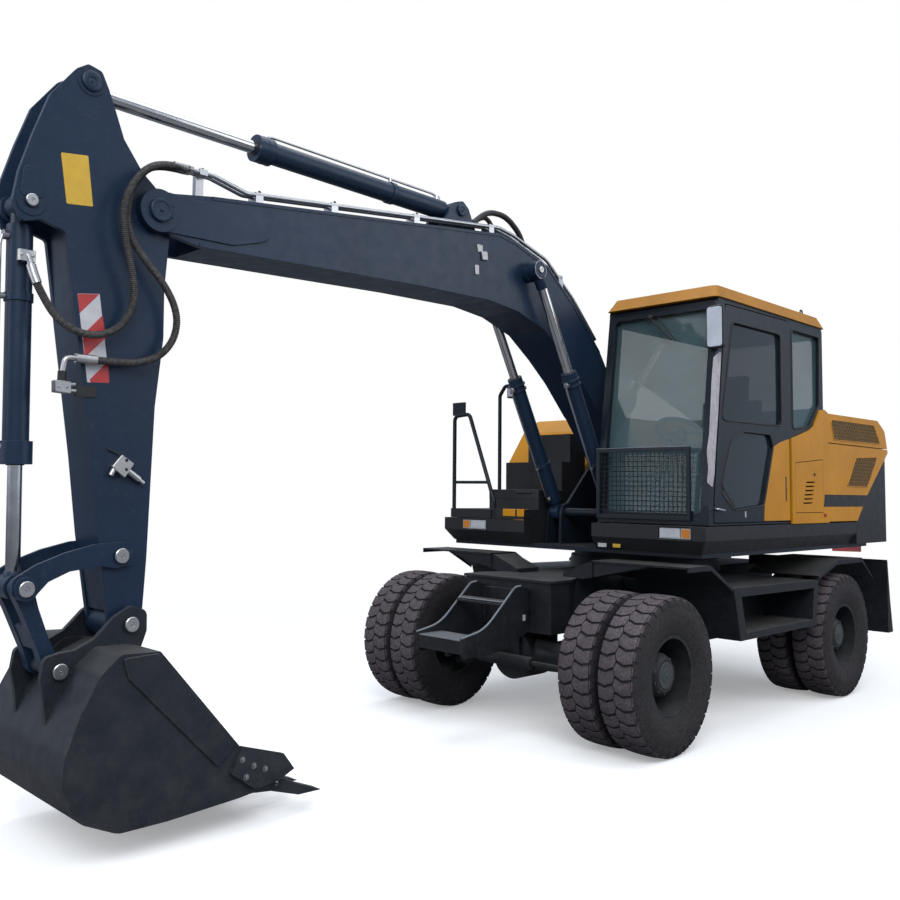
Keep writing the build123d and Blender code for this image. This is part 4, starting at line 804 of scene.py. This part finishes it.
def pin_heads():
    """Bright heads of the pins along the arm, and dark ones on the boom."""
    # For each body: pin, Y of its face, radius, height
    bright = {
        "arm": [(SIDE_LINK_PIN, 165, 38, 10), (BUCKET_CYLINDER_PIN, 141, 30, 10)],
        "bucket": [(BUCKET_PIN, 202, 38, 10), (BUCKET_LINK_PIN, 202, 38, 10)],
        "side_links": [(LINK_PIN, 171, 38, 10)],
        "boom": [(BOOM_CYLINDER_EYE, 302, 25, 9)],
    }
    for body, pins in bright.items():
        build(f"pin_heads_{body}", "plated", body, "chrome", *((pair, cap, *pin) for pin in pins))
    mesh = bmesh.new()
    for pin, y, radius in ((BOOM_TIP, 192, 62), (BOOM_FOOT, 218, 46), (ARM_CYLINDER_FOOT, 104, 40)):
        pair(mesh, turned, pin, y, [(-8, radius), (6, radius), (10, radius - 5), (10, radius - 16),
                                    (6, radius - 20), (6, 12), (12, 8)], 32)
    side_pair(mesh, [(4780, 3200), (4812, 3206), (4822, 3096), (4790, 3088)], BOOM_SIDE_Y - 1, 178, 8, 2)
    for z in (3120, 3180):
        pair(mesh, bolt, (4800, z), 177, 13)
    piece("boom_pin_heads", mesh, "boom_paint", "boom")
    head = [(-4, 52), (8, 52), (12, 46), (12, 20), (8, 16), (12, 8)]
    build("arm_pin_heads", "boom_paint", "arm", "boom_paint", (pair, turned, ARM_HEAD_PIN, 134, head, 28))


def arm_fittings():
    """Hose ends, elbows, valve block and coupling on the arm's left side."""
    build("arm_fittings", "plated", "arm", "chrome",
          # Sleeve and elbow of the rear hose, down to the valve block
          (rod, [(5185, 163, 2330), (5290, 160, 2330)], 24, 16),
          (bent_rod, [(5285, 160, 2330), (5340, 158, 2328), (5350, 154, 2250)], 45, 14),
          (side_slab, [(5312, 2212), (5390, 2216), (5388, 2158), (5310, 2154)], ARM_SIDE_Y - 2, 176, 6, 3),
          *((bolt, at(x, 175, 2185), LEFT, 9) for x in (5330, 5370)),
          (rod, [(5312, 152, 2200), (5284, 152, 2203)], 9),
          (rod, [(5312, 152, 2170), (5280, 152, 2172)], 9),
          # Quick coupling lower down
          (side_slab, [(5033, 1874), (4966, 1831), (5016, 1757), (5086, 1812)], ARM_SIDE_Y, 168, 8, 3),
          (rod, [(5000, 149, 1800), (4931, 149, 1752)], 17, 16),
          (rod, [(4936, 149, 1756), (4905, 149, 1734)], 11),
          (rod, [(5068, 149, 1800), (5084, 149, 1770)], 14))
    build("arm_clips", "black", "arm", "plastic",
          (rod, [(5350, 154, 2262), (5351, 153, 2214)], 21, 6),
          (side_slab, [(5280, 2200), (5170, 2204), (5166, 2150), (5276, 2146)], ARM_SIDE_Y, 136, 5, 1),
          *((turned, at(5010, 168, z), LEFT, [(-1, 9), (1.5, 8)], 16) for z in (1800, 1846)),
          (bent_rod, [(5100, 133, 1900), (5060, 140, 1885), (5030, 142, 1868)], 30, 4, 8))
    # The front hose ends on a block beside the bucket cylinder
    build("cylinder_port_block", "plated", "arm", "chrome",
          (rod, [(5470, 112, 2672), (5486, 100, 2722), (5496, 94, 2760)], 23, 16),
          (bent_rod, [(5494, 95, 2752), (5506, 90, 2796), (5516, 86, 2806)], 20, 15),
          (box_slab, (5474, 5556), (68, 100), (2774, 2830), 8, 3),
          *((bolt, at(x, 99, 2802), LEFT, 10) for x in (5488, 5542)))


def boom_fittings():
    """Pipe unions, small side plates, clamps' bolts and two short hose loops on the boom."""
    face = BOOM_SIDE_Y - 1
    mesh = bmesh.new()
    for y in (152, 196):
        rod(mesh, [(4700, y, 3395), (4735, y, 3395)], 19.5, 6)
        rod(mesh, [(4733, y, 3395), (4812, y, 3395)], 19, 16)
    side_slab(mesh, [(2410, 3452), (2350, 3452), (2350, 3408), (2400, 3396)], face, 175, 6, 1.5)
    side_slab(mesh, [(2372, 3404), (2312, 3414), (2304, 3352), (2360, 3344)], face, 186, 8, 3)
    side_slab(mesh, [(2430, 3300), (2390, 3304), (2388, 3236), (2428, 3232)], face, 176, 8, 1.5)
    piece("boom_unions", mesh, "steel", "boom")
    mesh = bmesh.new()
    for y in (152, 196):
        bolt(mesh, at(4640, y, 3411), UP, 12)
    for x, z in BACK_CLAMPS:
        for sign in SIDES if x < 2400 else SIDES[:1]:
            for y in (98, 135, 166):
                bolt(mesh, at(x, sign * y, z + 60), UP, 11)
    long_loop = [(2330, 60, 3640), (2170, 60, 3760), (1960, 60, 3770), (1790, 60, 3660), (1730, 60, 3500)]
    bent_rod(mesh, long_loop, 140, 21, 14, 8)
    bent_rod(mesh, [(2300, 20, 3660), (2140, 20, 3740), (2040, 20, 3640), (2010, 20, 3550)], 100, 17, 14, 8)
    piece("boom_clamp_bolts", mesh, "black", "boom")


def boom_forms():
    """Flange edges and cheeks on the boom, keepers on the arm and bands on the bucket's sides."""
    cheek = [(4905, 3246), (4813, 3250), (4420, 3240), (4120, 3130), (4420, 3046), (4813, 3038), (4905, 3038)]
    mesh = bmesh.new()
    for sign in SIDES:
        for line in (BOOM_BACK, BOOM_BELLY):
            strip = line + beside(line, -FLANGE_W)[::-1]
            prism(mesh, strip, on_side, sign * (BOOM_SIDE_Y - 1), sign * (BOOM_SIDE_Y + 4))
    side_pair(mesh, cheek, BOOM_SIDE_Y - 1, BOOM_SIDE_Y + 9, 50, 3)
    piece("boom_flanges", mesh, "boom_paint", "boom")
    keeper = [(5454, 3078), (5490, 3228), (5564, 3218), (5580, 3068)]
    build("arm_keepers", "boom_paint", "arm", "boom_paint", (side_pair, keeper, ARM_SIDE_Y - 1, 137, 30, 2))
    band = [(5156, 930), (4975, 936), (4520, 440), (4633, 345), (5123, 832)]
    build("bucket_side_bands", "bucket_paint", "bucket", "boom_paint", (side_pair, band, 469, 480, 20, 3))


def cylinder_fittings(name, foot, eye, reach, radius, gland_r, y, outward, body):
    """Ports with a pipe between them along a barrel, its collars, and the seal round the rod."""
    start = Vector((foot[0], y, foot[1]))
    axis = (Vector((eye[0], y, eye[1])) - start).normalized()
    across = Vector((-axis.z, 0, axis.x)) * outward
    collar_at = 0.34 * reach

    def spot(along, out=0):
        """A point along the barrel, and out from its axis, in millimetres."""
        return start + axis * along + across * out

    mesh = bmesh.new()
    for along in (150, reach - 80):
        turned(mesh, at(*spot(along, radius - 6)), across, [(0, 24), (24, 24), (28, 20), (30, 18)], 20)
    low, high = spot(150, radius + 20), spot(reach - 80, radius + 20)
    bent_rod(mesh, [low, low + across * 12 + axis * 40, high + across * 12 - axis * 40, high], 20, 8)
    turned(mesh, at(*spot(collar_at + 22, radius + 4)), across, [(0, 15), (30, 15), (33, 12)], 12)
    piece(f"{name}_pipe", mesh, "pipe", body)
    seal = [(-1, radius - 18), (4, radius - 19), (5, radius - 23)]
    build(f"{name}_seal", "black", body, "plastic", (turned, at(*spot(reach)), axis, seal, 32))
    collar = [(0, radius - 1), (2, radius + 7), (42, radius + 7), (44, radius - 1)]
    gland = [(0, radius), (3, gland_r + 4), (16, gland_r + 4), (19, radius)]
    build(f"{name}_collars", "boom_paint", body, "boom_paint",
          (turned, at(*spot(collar_at)), axis, collar, 40),
          *((turned, at(*spot(reach - back)), axis, gland, 40) for back in (112, 70)))


def rod_eyes():
    """Painted eyes and necks at the ends of the chromed rods."""
    for name, foot, eye, radius, half, neck_end, places, body in ROD_EYES:
        back = (Vector(foot) - Vector(eye)).normalized()
        wide = 2 * half + 2
        ring = [(0, radius - 3), (3, radius + 1), (wide - 3, radius + 1), (wide, radius - 3)]
        mesh = bmesh.new()
        for y in places:
            turned(mesh, at(eye[0], y - half - 1, eye[1]), LEFT, ring, 40)
            neck = at(eye[0] + 40 * back.x, y, eye[1] + 40 * back.y)
            turned(mesh, neck, (back.x, 0, back.y), [(0, 42), (neck_end - 8, 42), (neck_end, 37)], 28)
        piece(f"{name}_rod_eyes", mesh, "boom_paint", body)


def bucket_details():
    """Cutter bolts and tooth pins on the bucket."""
    mesh = bmesh.new()
    for place in ((4500, 360), (4430, 318), (4360, 290), (4475, 270)):
        pair(mesh, bolt, place, 491, 17, 14)
    for y in range(-420, 421, 210):
        for sign in SIDES:
            turned(mesh, at(4270, y + sign * 41, 195), (0, sign, 0), [(0, 13), (6, 13), (8, 10)], 16)
    piece("bucket_bolts", mesh, "steel", "bucket")


# Undercarriage

FENDER_FRONT_X = 1482
FENDER_TOP_Z = 1226
FENDER_SHEET = 14
FENDER_OUT_Y = 1250
REAR_FENDER_TOP_Z = 1176


def make_fenders():
    """The four fenders: bent sheets with lips and inner walls, on brackets from the chassis."""
    front_x, top, under = FENDER_FRONT_X, FENDER_TOP_Z, FENDER_TOP_Z - FENDER_SHEET
    rear_top, out = REAR_FENDER_TOP_Z, FENDER_OUT_Y
    sheet = [(front_x, top), (1174, top), (868, 1060), (876, 1048), (1180, under), (front_x, under)]
    lip = [(front_x, top), (1174, top), (868, 1060), (860, 1030), (1168, top - 36), (front_x, top - 36)]
    wall = [(front_x, top - 4), (1180, top - 4), (872, 1056), (872, 1062), (1174, 1110), (front_x, 1110)]
    rear = [(-640, 1060), (-1010, rear_top), (-1560, rear_top), (-1800, 1000)]
    rear_sheet = rear + [(-1790, 992), (-1556, rear_top - 14), (-1014, rear_top - 14), (-650, 1050)]
    rear_lip = rear + [(-1822, 980), (-1572, rear_top - 40), (-1006, rear_top - 40), (-630, 1030)]
    bracket = [(220, 1085), (220, 1119), (458, under + 4), (930, under + 4), (930, under - 8), (400, 1085)]
    rear_bracket = corners_of((330, 1075), (650, 1170))
    mesh = bmesh.new()
    for sign in SIDES:
        for outline, low, high in ((sheet, 478, out - 7), (lip, out - 8, out), (wall, 478, 488),
                                   (rear_sheet, 640, out - 7), (rear_lip, out - 8, out)):
            prism(mesh, outline, on_side, sign * low, sign * high)
        for outline, low, high in ((bracket, 1200, 1470), (rear_bracket, -1330, -1300)):
            prism(mesh, [(sign * y, z) for y, z in outline], on_front, low, high)
    made = piece("fender_sheets", mesh, "chassis_paint", "chassis")
    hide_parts("fenders")


def make_ladder():
    """The ladder ahead of the chassis: two curved stringers, a cross bar and a deep step."""
    corners = [(1860, 1020), (1960, 1052), (2032, 1043), (2350, 776), (2590, 736), (2577, 600), (2282, 595),
               (1860, 720)]
    bends = (1, 30, 40, 330, 12, 20, 200, 1)
    outline = []
    for index, bend in enumerate(bends):
        trio = [corners[index - 1], corners[index], corners[(index + 1) % len(corners)]]
        outline += rounded(trio, bend, 8)[9:18]
    step = [(2330, 716), (2580, 716), (2572, 626), (2560, 626), (2560, 704), (2330, 704)]
    made = build("ladder", "chassis_paint", "chassis", "chassis_paint",
                 *((slab, outline, on_side, sign * 204, sign * 216, 1.5) for sign in SIDES),
                 (prism, step, on_side, -205, 205),
                 (prism, [(2120, 958), (2180, 934), (2180, 922), (2120, 946)], on_side, -205, 205),
                 (box_slab, (1860, 1874), (-216, 216), (740, 1010), 4, 2))
    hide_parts("front_steps")
    plate = [(1470, -344), (1636, -416), (1874, -416), (1874, 416), (1636, 416), (1470, 344)]
    build("chassis_top_plate", "chassis_paint", "chassis", "chassis_paint",
          (level_slab, plate, 1071, 1091, 4, 3))


def chassis_details():
    """Rolled edges and top plates of the ladder in pale paint as a painted highlight, the strips on its step,
    and a small plate.
    """
    edges = ([(1960, y, 1048), (2022, y, 1044), (2350, y, 772), (2586, y, 735)] for y in (210, -210))
    # The pale rolled edges and top plates are painted highlight where light falls on the tops.
    build("ladder_edge_highlights", "pale_highlight", "chassis", "chassis_paint",
          *((bent_rod, edge, 110, 7, 10, 10) for edge in edges),
          (box_slab, (2340, 2572), (-203, 203), (716, 720), 10, 0.8),
          (box_slab, (2124, 2178), (-203, 203), (946, 949), 8, 0.8))
    build("step_grip", "steel", "chassis", "chassis_paint",
          *((box_slab, (x, x + 12), (-190, 190), (720, 723), 4, 0.8) for x in range(2360, 2553, 32)))
    build("chassis_plate", "white_film", "chassis", "chassis_paint",
          (side_slab, [(1912, 842), (1942, 842), (1942, 800), (1912, 800)], 216, 217.5, 3))


# Upper structure

# Body, name, corners
GRILLES = (
    ("engine_hood", "hood", ((-951, 2376), (-1938, 2383), (-2098, 2213), (-1008, 2203))),
    ("side_door", "door", ((-1502, 2067), (-2023, 2089), (-1754, 1805), (-1279, 1808))),
)
GRILLE_PITCH = 38.0
GRILLE_LEAN = 0.62


def inside(point, corners):
    """True if a point lies in a convex outline."""
    signs = []
    for k, corner in enumerate(corners):
        a, b = Vector(corners[k - 1]), Vector(corner)
        signs.append((b - a).cross(point - a) > 0)
    return all(signs) or not any(signs)


def clipped(start, end, corners):
    """The part of a line inside a convex outline, or None."""
    marks = [t / 60 for t in range(61) if inside(start.lerp(end, t / 60), corners)]
    if len(marks) < 2:
        return None
    return start.lerp(end, marks[0]), start.lerp(end, marks[-1])


def grille_strands(corners):
    """The crossing lines of a grille's expanded metal."""
    (low_x, low_z), (high_x, high_z) = (map(pick, zip(*corners)) for pick in (min, max))
    strands = []
    for lean in (GRILLE_LEAN, -GRILLE_LEAN):
        shift = lean * (high_z - low_z)
        x = low_x - abs(shift)
        while x < high_x + abs(shift):
            strands.append(clipped(Vector((x, low_z)), Vector((x + shift, high_z)), corners))
            x += GRILLE_PITCH
    return [line for line in strands if line]


def make_grilles():
    """Expanded metal in each grille's recess, over a black plate of painted shade for the dark space behind it.
    """
    for node, name, corners in GRILLES:
        centre = sum((Vector(c) for c in corners), Vector((0, 0))) / 4
        drawn = [centre + (Vector(c) - centre) * 0.985 for c in corners]
        strands = grille_strands(corners)
        for side, sign in (("left", 1), ("right", -1)):
            body = node if node == "engine_hood" else f"{node}_{side}"
            # A thin black plate paints the shade seen through the grille's holes.
            build(f"{name}_grille_painted_shade_{side}", "black", body, "plastic",
                  (side_slab, drawn, sign * 1239.5, sign * 1240.6, 22, 0.3))
            lines = ([(q.x, sign * 1241.6, q.y) for q in line] for line in strands)
            build(f"{name}_grille_mesh_{side}", "mesh", body, "yellow_paint",
                  *((rod, line, 3.0, 5) for line in lines), smooth=False)
            build(f"{name}_grille_rim_{side}", "yellow_paint", body, "yellow_paint",
                  (frame_round, corners, 5, 24, 5, on_side, sign * 1240.5))


def body_colours():
    """Stripes over cover and doors, the cab door's yellow, a black plate of painted shade for its slot,
    reflectors, rear seal and lock.
    """
    side = BODY_SIDE_Y
    build("stripe_cover", "grey_paint", "upper", "grey_paint",
          (side_slab, [(-773, 1733), (-861, 1733), (-861, 1630), (-747, 1630)], COVER_Y, COVER_Y + 1, 2, 0.3))
    stripe = [(-871, 1733), (-1752, 1733), (-1640, 1630), (-871, 1630)]
    for name, sign in (("left", 1), ("right", -1)):
        build(f"stripe_door_{name}", "grey_paint", f"side_door_{name}", "grey_paint",
              (side_slab, stripe, sign * side, sign * (side + 1), 2, 0.3))
    yellow = [(330, 1524), (318, 1640), (232, 1870), (150, 2094), (60, 2128), (-82, 2160), (-129, 2166),
              (-129, 1524)]
    build("door_yellow", "yellow_paint", "cab_door", "yellow_paint",
          (side_slab, yellow, side, side + 1.2, 10, 0.4))
    # The slot's shade is painted as a thin black plate on the door.
    build("door_slot_painted_shade", "black", "cab_door", "plastic",
          (side_slab, [(-46, 1867), (-66, 1867), (-68, 1672), (-48, 1672)], side + 1.2, side + 2, 6, 0.3))
    build("red_reflectors", "red", "upper", "lamp",
          (side_slab, [(-752, 1574), (-790, 1572), (-790, 1548), (-752, 1550)], COVER_Y, COVER_Y + 10, 4, 2),
          (side_slab, [(-1140, 1276), (-1780, 1272), (-1780, 1214), (-1140, 1244)], 1160, 1168, 6, 2))
    build("hood_rear_seal", "black", "upper", "plastic",
          (front_box, (-1190, 1190), (1990, 2130), (-2268, -2280), 6, 1))
    build("hatch_lock", "black", "filter_hatch", "plastic",
          (turned, at(-569, COVER_Y, 1896), LEFT, [(0, 12), (5, 12), (7, 9), (5, 4)], 20))


def cab_details():
    """The door's handle, grip well, tag and seals, the mirrors' faces with the front one a pale plate of
    painted reflection, pillar wrap and wiper.
    """
    side = BODY_SIDE_Y
    build("door_handle", "plated", "cab_door", "chrome",
          (bent_rod, [(1085, side, 1618), (1085, 1262, 1616), (985, 1262, 1606), (985, side, 1606)], 14, 8))
    well = [(1010, 1735), (830, 1612), (790, 1612), (800, 1660), (930, 1756)]
    build("door_grip_well", "black", "cab_door", "plastic", (side_slab, well, side, side + 4, 24, 2))
    build("door_tag", "white_film", "cab_door", "plastic",
          (side_slab, [(640, 1598), (622, 1598), (620, 1554), (638, 1554)], side, side + 1.2, 2, 0.3))
    panes = (((976, 2250), (800, 2984), (8, 2990), (8, 2262)),
             ((830, 2112), (640, 2186), (210, 2186), (160, 2090), (330, 1640), (790, 1606), (985, 1780)))
    for index, corners in enumerate(panes):
        build(f"door_seal_{index}", "black", "cab_door", "plastic",
              (frame_round, corners, 7, 52, 6, on_side, side))
    rear_pane = ((-206, 3060), (-206, 2250), (-520, 2286), (-720, 2480), (-740, 3060))
    right_pane = ((1010, 2040), (890, 3040), (-740, 3050), (-740, 2300), (-200, 2040))
    build("cab_seals", "black", "upper", "plastic", (frame_round, rear_pane, 7, 42, 6, on_side, 1236),
          (frame_round, right_pane, 7, 42, 6, on_side, 326))
    # The mirror's front face: a pale plate of painted reflection.
    build("mirror_front_painted_reflection", "mirror_painted_reflection", "upper", "plastic",
          (front_box, (1197, 1309), (2766, 3050), (1094, 1098), 22, 1.5))
    build("mirror_glass", "chrome", "upper", "chrome",
          (front_box, (1200, 1306), (2770, 3046), (1060, 1057), 18, 0.5),
          (front_box, (-1140, -1020), (2396, 2492), (1208, 1205), 8, 0.5))
    # The thin wrapping that still hangs on the front pillar
    wrap = [(996, 2740), (974, 2735), (1006, 2500), (1029, 2300), (1064, 2080), (1094, 1860), (1122, 1765),
            (1190, 1800), (1172, 1900), (1190, 2010), (1154, 2140), (1132, 2330), (1112, 2520), (1082, 2690)]
    build("pillar_wrap", "wrap", "upper", "plastic", (side_slab, wrap, 1236, 1242, 14, 1.5))
    build("wiper", "black", "upper", "plastic",
          (rod, [(1022, 700, 3046), (1050, 890, 2860)], 8),
          (rod, [(1024, 770, 3040), (1052, 930, 2850)], 6),
          (turned, at(1014, 700, 3056), (0.9, 0, 0.2), [(-6, 20), (18, 20), (23, 13)], 20))


GUARD_COLUMNS = 20
GUARD_ROWS = 13
GUARD_WIRE_R = 2.6


def make_guard():
    """The windscreen guard: a square frame with wire mesh on brackets."""
    mesh = bmesh.new()
    for y_range, z_range in (((330, 360), (1530, 2056)), ((1080, 1110), (1530, 2056)),
                             ((358, 1082), (1530, 1560)), ((358, 1082), (2026, 2056))):
        front_box(mesh, y_range, z_range, (1180, 1200), 3, 2)
    for low in (332, 1078):
        box_slab(mesh, (1150, 1182), (low, low + 30), (1535, 1600), 3, 2)
    for column in range(1, GUARD_COLUMNS):
        y = 358 + (1082 - 358) * column / GUARD_COLUMNS
        rod(mesh, [(1187, y, 1550), (1187, y, 2036)], GUARD_WIRE_R, 6)
    for row in range(1, GUARD_ROWS):
        z = 1558 + (2028 - 1558) * row / GUARD_ROWS
        rod(mesh, [(1192, 350, z), (1192, 1090, z)], GUARD_WIRE_R, 6)
    guard = piece("guard", mesh, "cab_paint", "upper")
    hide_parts("cab_guard")
    # A pale strip of painted highlight along the guard's top.
    build("guard_top_highlight", "pale_highlight", "upper", "cab_paint", (box_slab, (1178, 1202), (332, 1108), (2055, 2059), 3, 1))


def make_mirror():
    """The mirror on the cab's front pillar, the roof's eyes, and the lid of the right box."""
    stay = [(1062, 1236, 2740), (1075, 1262, 2740), (1075, 1262, 3080), (1036, 1236, 3094)]
    mirror = build("mirror", "cab_paint", "upper", "cab_paint", (bent_rod, stay, 20, 9),
                   (front_box, (1190, 1316), (2752, 3062), (1060, 1094), 24, 5))
    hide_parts("cab_mirror")
    mesh = bmesh.new()
    for x, y in ((790, 350), (-500, 1195)):
        turns = [math.pi * k / 10 for k in range(21)]
        rod(mesh, [(x + 21 * math.cos(t), y, 3244 + 21 * math.sin(t)) for t in turns], 6, 10)
    piece("roof_eyes", mesh, "cab_paint", "upper")
    handle = [(1040, -560, 1718), (1062, -560, 1718), (1062, -420, 1718), (1040, -420, 1718)]
    build("box_lid", "grey_paint", "upper", "grey_paint",
          (box_slab, (696, 1044), (-884, -341), (1664, 1742), 12, 4), (bent_rod, handle, 12, 6))


def lamp_details():
    """Lenses and trim of the lamps, the deck's yellow treads and two blank plates at the front."""
    face = DECK_FRONT_X
    clear, amber = [], []
    for lenses, low, high in ((clear, 900, 1050), (amber, 1066, 1130),
                              (amber, -1000, -930), (clear, -914, -750)):
        lenses.append((front_box, (low, high), (1409, 1471), (face, face + 4), 9, 2))
        for z in (1424, 1440, 1456):
            lenses.append((front_box, (low + 8, high - 8), (z, z + 5), (face + 3.5, face + 5), 2, 0.5))
    clear.append((front_box, (-682, -578), (2540, 2616), (1035, 1040), 14, 2))
    frames = (corners_of((low, 1392), (high, 1488)) for low, high in ((884, 1146), (-1016, -734)))
    build("lamp_lenses", "lamp", "upper", "lamp", *clear)
    build("amber_lenses", "amber", "upper", "lamp", *amber)
    build("lamp_trim", "black", "upper", "plastic",
          *((frame_round, corners, 5, 16, 5, on_front, face + 8) for corners in frames))
    mesh = bmesh.new()
    for y_range in ((-560, -430), (-412, -338)):
        box_slab(mesh, (1180, face), y_range, (1575, 1579), 6, 1)
        front_box(mesh, y_range, (1520, 1576), (face - 2, face + 1), 4, 1)
    front_slab(mesh, [(-590, 1474), (-338, 1478), (-338, 1496), (-590, 1488)], face - 2, face + 4, 3, 1)
    piece("yellow_treads", mesh, "yellow_paint", "upper")
    for name, y_range, z_range in (("white", (356, 430), (1312, 1350)), ("yellow", (486, 552), (1314, 1346))):
        build(f"front_plate_{name}", f"{name}_film", "upper", "grey_paint",
              (front_box, y_range, z_range, (1212, 1214), 3, 0.5))


def cushion(name, place, size, lean=0.0):
    """A crowned cushion: a subdivided block that bulges towards its middle."""
    mesh = bmesh.new()
    bmesh.ops.create_grid(mesh, x_segments=10, y_segments=10, size=0.5)
    for vert in mesh.verts:
        u, v = 2 * vert.co.x, 2 * vert.co.y
        crown = max(0.0, (1 - u ** 4)) ** 0.5 * max(0.0, (1 - v ** 4)) ** 0.5
        vert.co = Vector((vert.co.x * size[0], vert.co.y * size[1], size[2] * (0.3 + 0.2 * crown)))
    both = bmesh.ops.duplicate(mesh, geom=mesh.verts[:] + mesh.edges[:] + mesh.faces[:])
    for vert in (g for g in both["geom"] if isinstance(g, bmesh.types.BMVert)):
        vert.co.z = -vert.co.z
    bmesh.ops.bridge_loops(mesh, edges=[e for e in mesh.edges if e.is_boundary])
    bmesh.ops.rotate(mesh, cent=(0, 0, 0), matrix=Matrix.Rotation(lean, 3, "Y"), verts=mesh.verts)
    bmesh.ops.translate(mesh, vec=place, verts=mesh.verts)
    made = piece(name, mesh, "seat", "upper")


def make_seat():
    """The driver's seat: cushions on a suspension base, with armrests."""
    mesh = bmesh.new()
    box_slab(mesh, (-60, 340), (600, 940), (1540, 1600), 30, 6)
    for step in range(5):
        z = 1600 + 26 * step
        grow = 12 if step % 2 else 0
        box_slab(mesh, (-20 - grow, 300 + grow), (640 - grow, 900 + grow), (z, z + 26), 30, 6)
    box_slab(mesh, (-120, 380), (560, 980), (1730, 1772), 40, 6)
    side_slab(mesh, [(-150, 1790), (-96, 1790), (-168, 2500), (-214, 2500)], 560, 980, 20, 6)
    for y in (470, 1010):
        bent_rod(mesh, [(-150, y, 1960), (-60, y, 2030), (220, y, 2030)], 60, 26)
    base = piece("seat_base", mesh, "plastic", "upper")
    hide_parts("cab_seat")
    cushion("seat_cushion", at(150, 770, 1830), (0.52, 0.50, 0.13))
    cushion("seat_back", at(-85, 770, 2180), (0.62, 0.48, 0.13), math.radians(83))
    cushion("seat_head", at(-130, 770, 2590), (0.22, 0.26, 0.09), math.radians(84))


# Stage

FLOOR_NEAR = 3.2
FLOOR_FAR = 8.5
LIGHTS_AIM = Vector((0.5, 0, 1.5))

# Name, place, size, power
LIGHTS = (
    ("key", (7.5, 7.0, 8.5), 6.0, 760.0),
    ("fill", (-6.0, 9.0, 6.0), 7.0, 330.0),
    ("top", (0.0, 0.0, 11.0), 9.0, 520.0),
    ("front", (10.0, -3.0, 5.0), 6.0, 260.0),
)


def make_stage():
    """Pale floor, soft light from above and the front left, and a white surround."""
    mesh = bmesh.new()
    bmesh.ops.create_grid(mesh, x_segments=1, y_segments=1, size=60.0)
    floor = piece("floor", mesh, "floor", None, smooth=False)
    world = bpy.data.worlds.new("world")
    bpy.context.scene.world = world
    world.use_nodes = True
    look = Look(world.node_tree, "Background")
    seen = look.add("ShaderNodeLightPath").outputs["Is Camera Ray"]
    look.give({"Color": look.mix(seen, (0.74, 0.84, 1.0), grey(1.0)),
               "Strength": look.ramp(seen, 0.0, 1.0, 0.62, 1.0)})
    for name, place, size, power in LIGHTS:
        light = bpy.data.lights.new(name, "AREA")
        light.shape = "SQUARE"
        light.size = size
        light.energy = power
        lamp = bpy.data.objects.new(name, light)
        bpy.context.scene.collection.objects.link(lamp)
        lamp.location = place
        lamp.rotation_euler = (LIGHTS_AIM - Vector(place)).to_track_quat("-Z", "Y").to_euler()


def floor_material():
    """Pale floor that keeps the object's shadow and fades into the white surround."""
    look = new_look("floor")
    seen = look.add("ShaderNodeLightPath").outputs["Is Camera Ray"]
    tone = look.mix(look.cloud(0.8, 4.0, 0.3, 0.7), grey(0.84), grey(0.88))
    white = (*grey(1.0), 1.0)
    look.give({"Base Color": look.mix(seen, (0.22, 0.22, 0.23), tone), "Roughness": 0.9,
               "Specular IOR Level": 0.1, "Emission Color": white,
               "Emission Strength": look.ramp(seen, 0.0, 1.0, 0.0, 0.28)})
    away = look.add("ShaderNodeVectorMath", {0: look.place}, operation="LENGTH").outputs["Value"]
    fade = look.scalar("MULTIPLY", look.ramp(away, FLOOR_NEAR, FLOOR_FAR), seen)
    glow = look.add("ShaderNodeEmission", {"Color": white, "Strength": 1.0})
    blend = look.add("ShaderNodeMixShader", {0: fade, 1: look.shader.outputs[0], 2: glow.outputs[0]})
    look.give({"Surface": blend.outputs[0]}, look.tree.nodes["Material Output"])


floor_material()
make_camera()
make_hose("hose_front", HOSE_TO_CYLINDER, "arm_hose_front")
make_hose("hose_rear", HOSE_TO_ARM, "arm_hose_rear")
dress_nodes()
make_tyres()
flat_stripes()
pin_heads()
arm_fittings()
boom_fittings()
for cylinder in CYLINDERS:
    cylinder_fittings(*cylinder)
boom_forms()
rod_eyes()
bucket_details()
make_fenders()
make_ladder()
chassis_details()
make_grilles()
body_colours()
cab_details()
make_guard()
make_mirror()
lamp_details()
make_seat()
make_stage()
bpy.context.scene.view_settings.view_transform = "Standard"
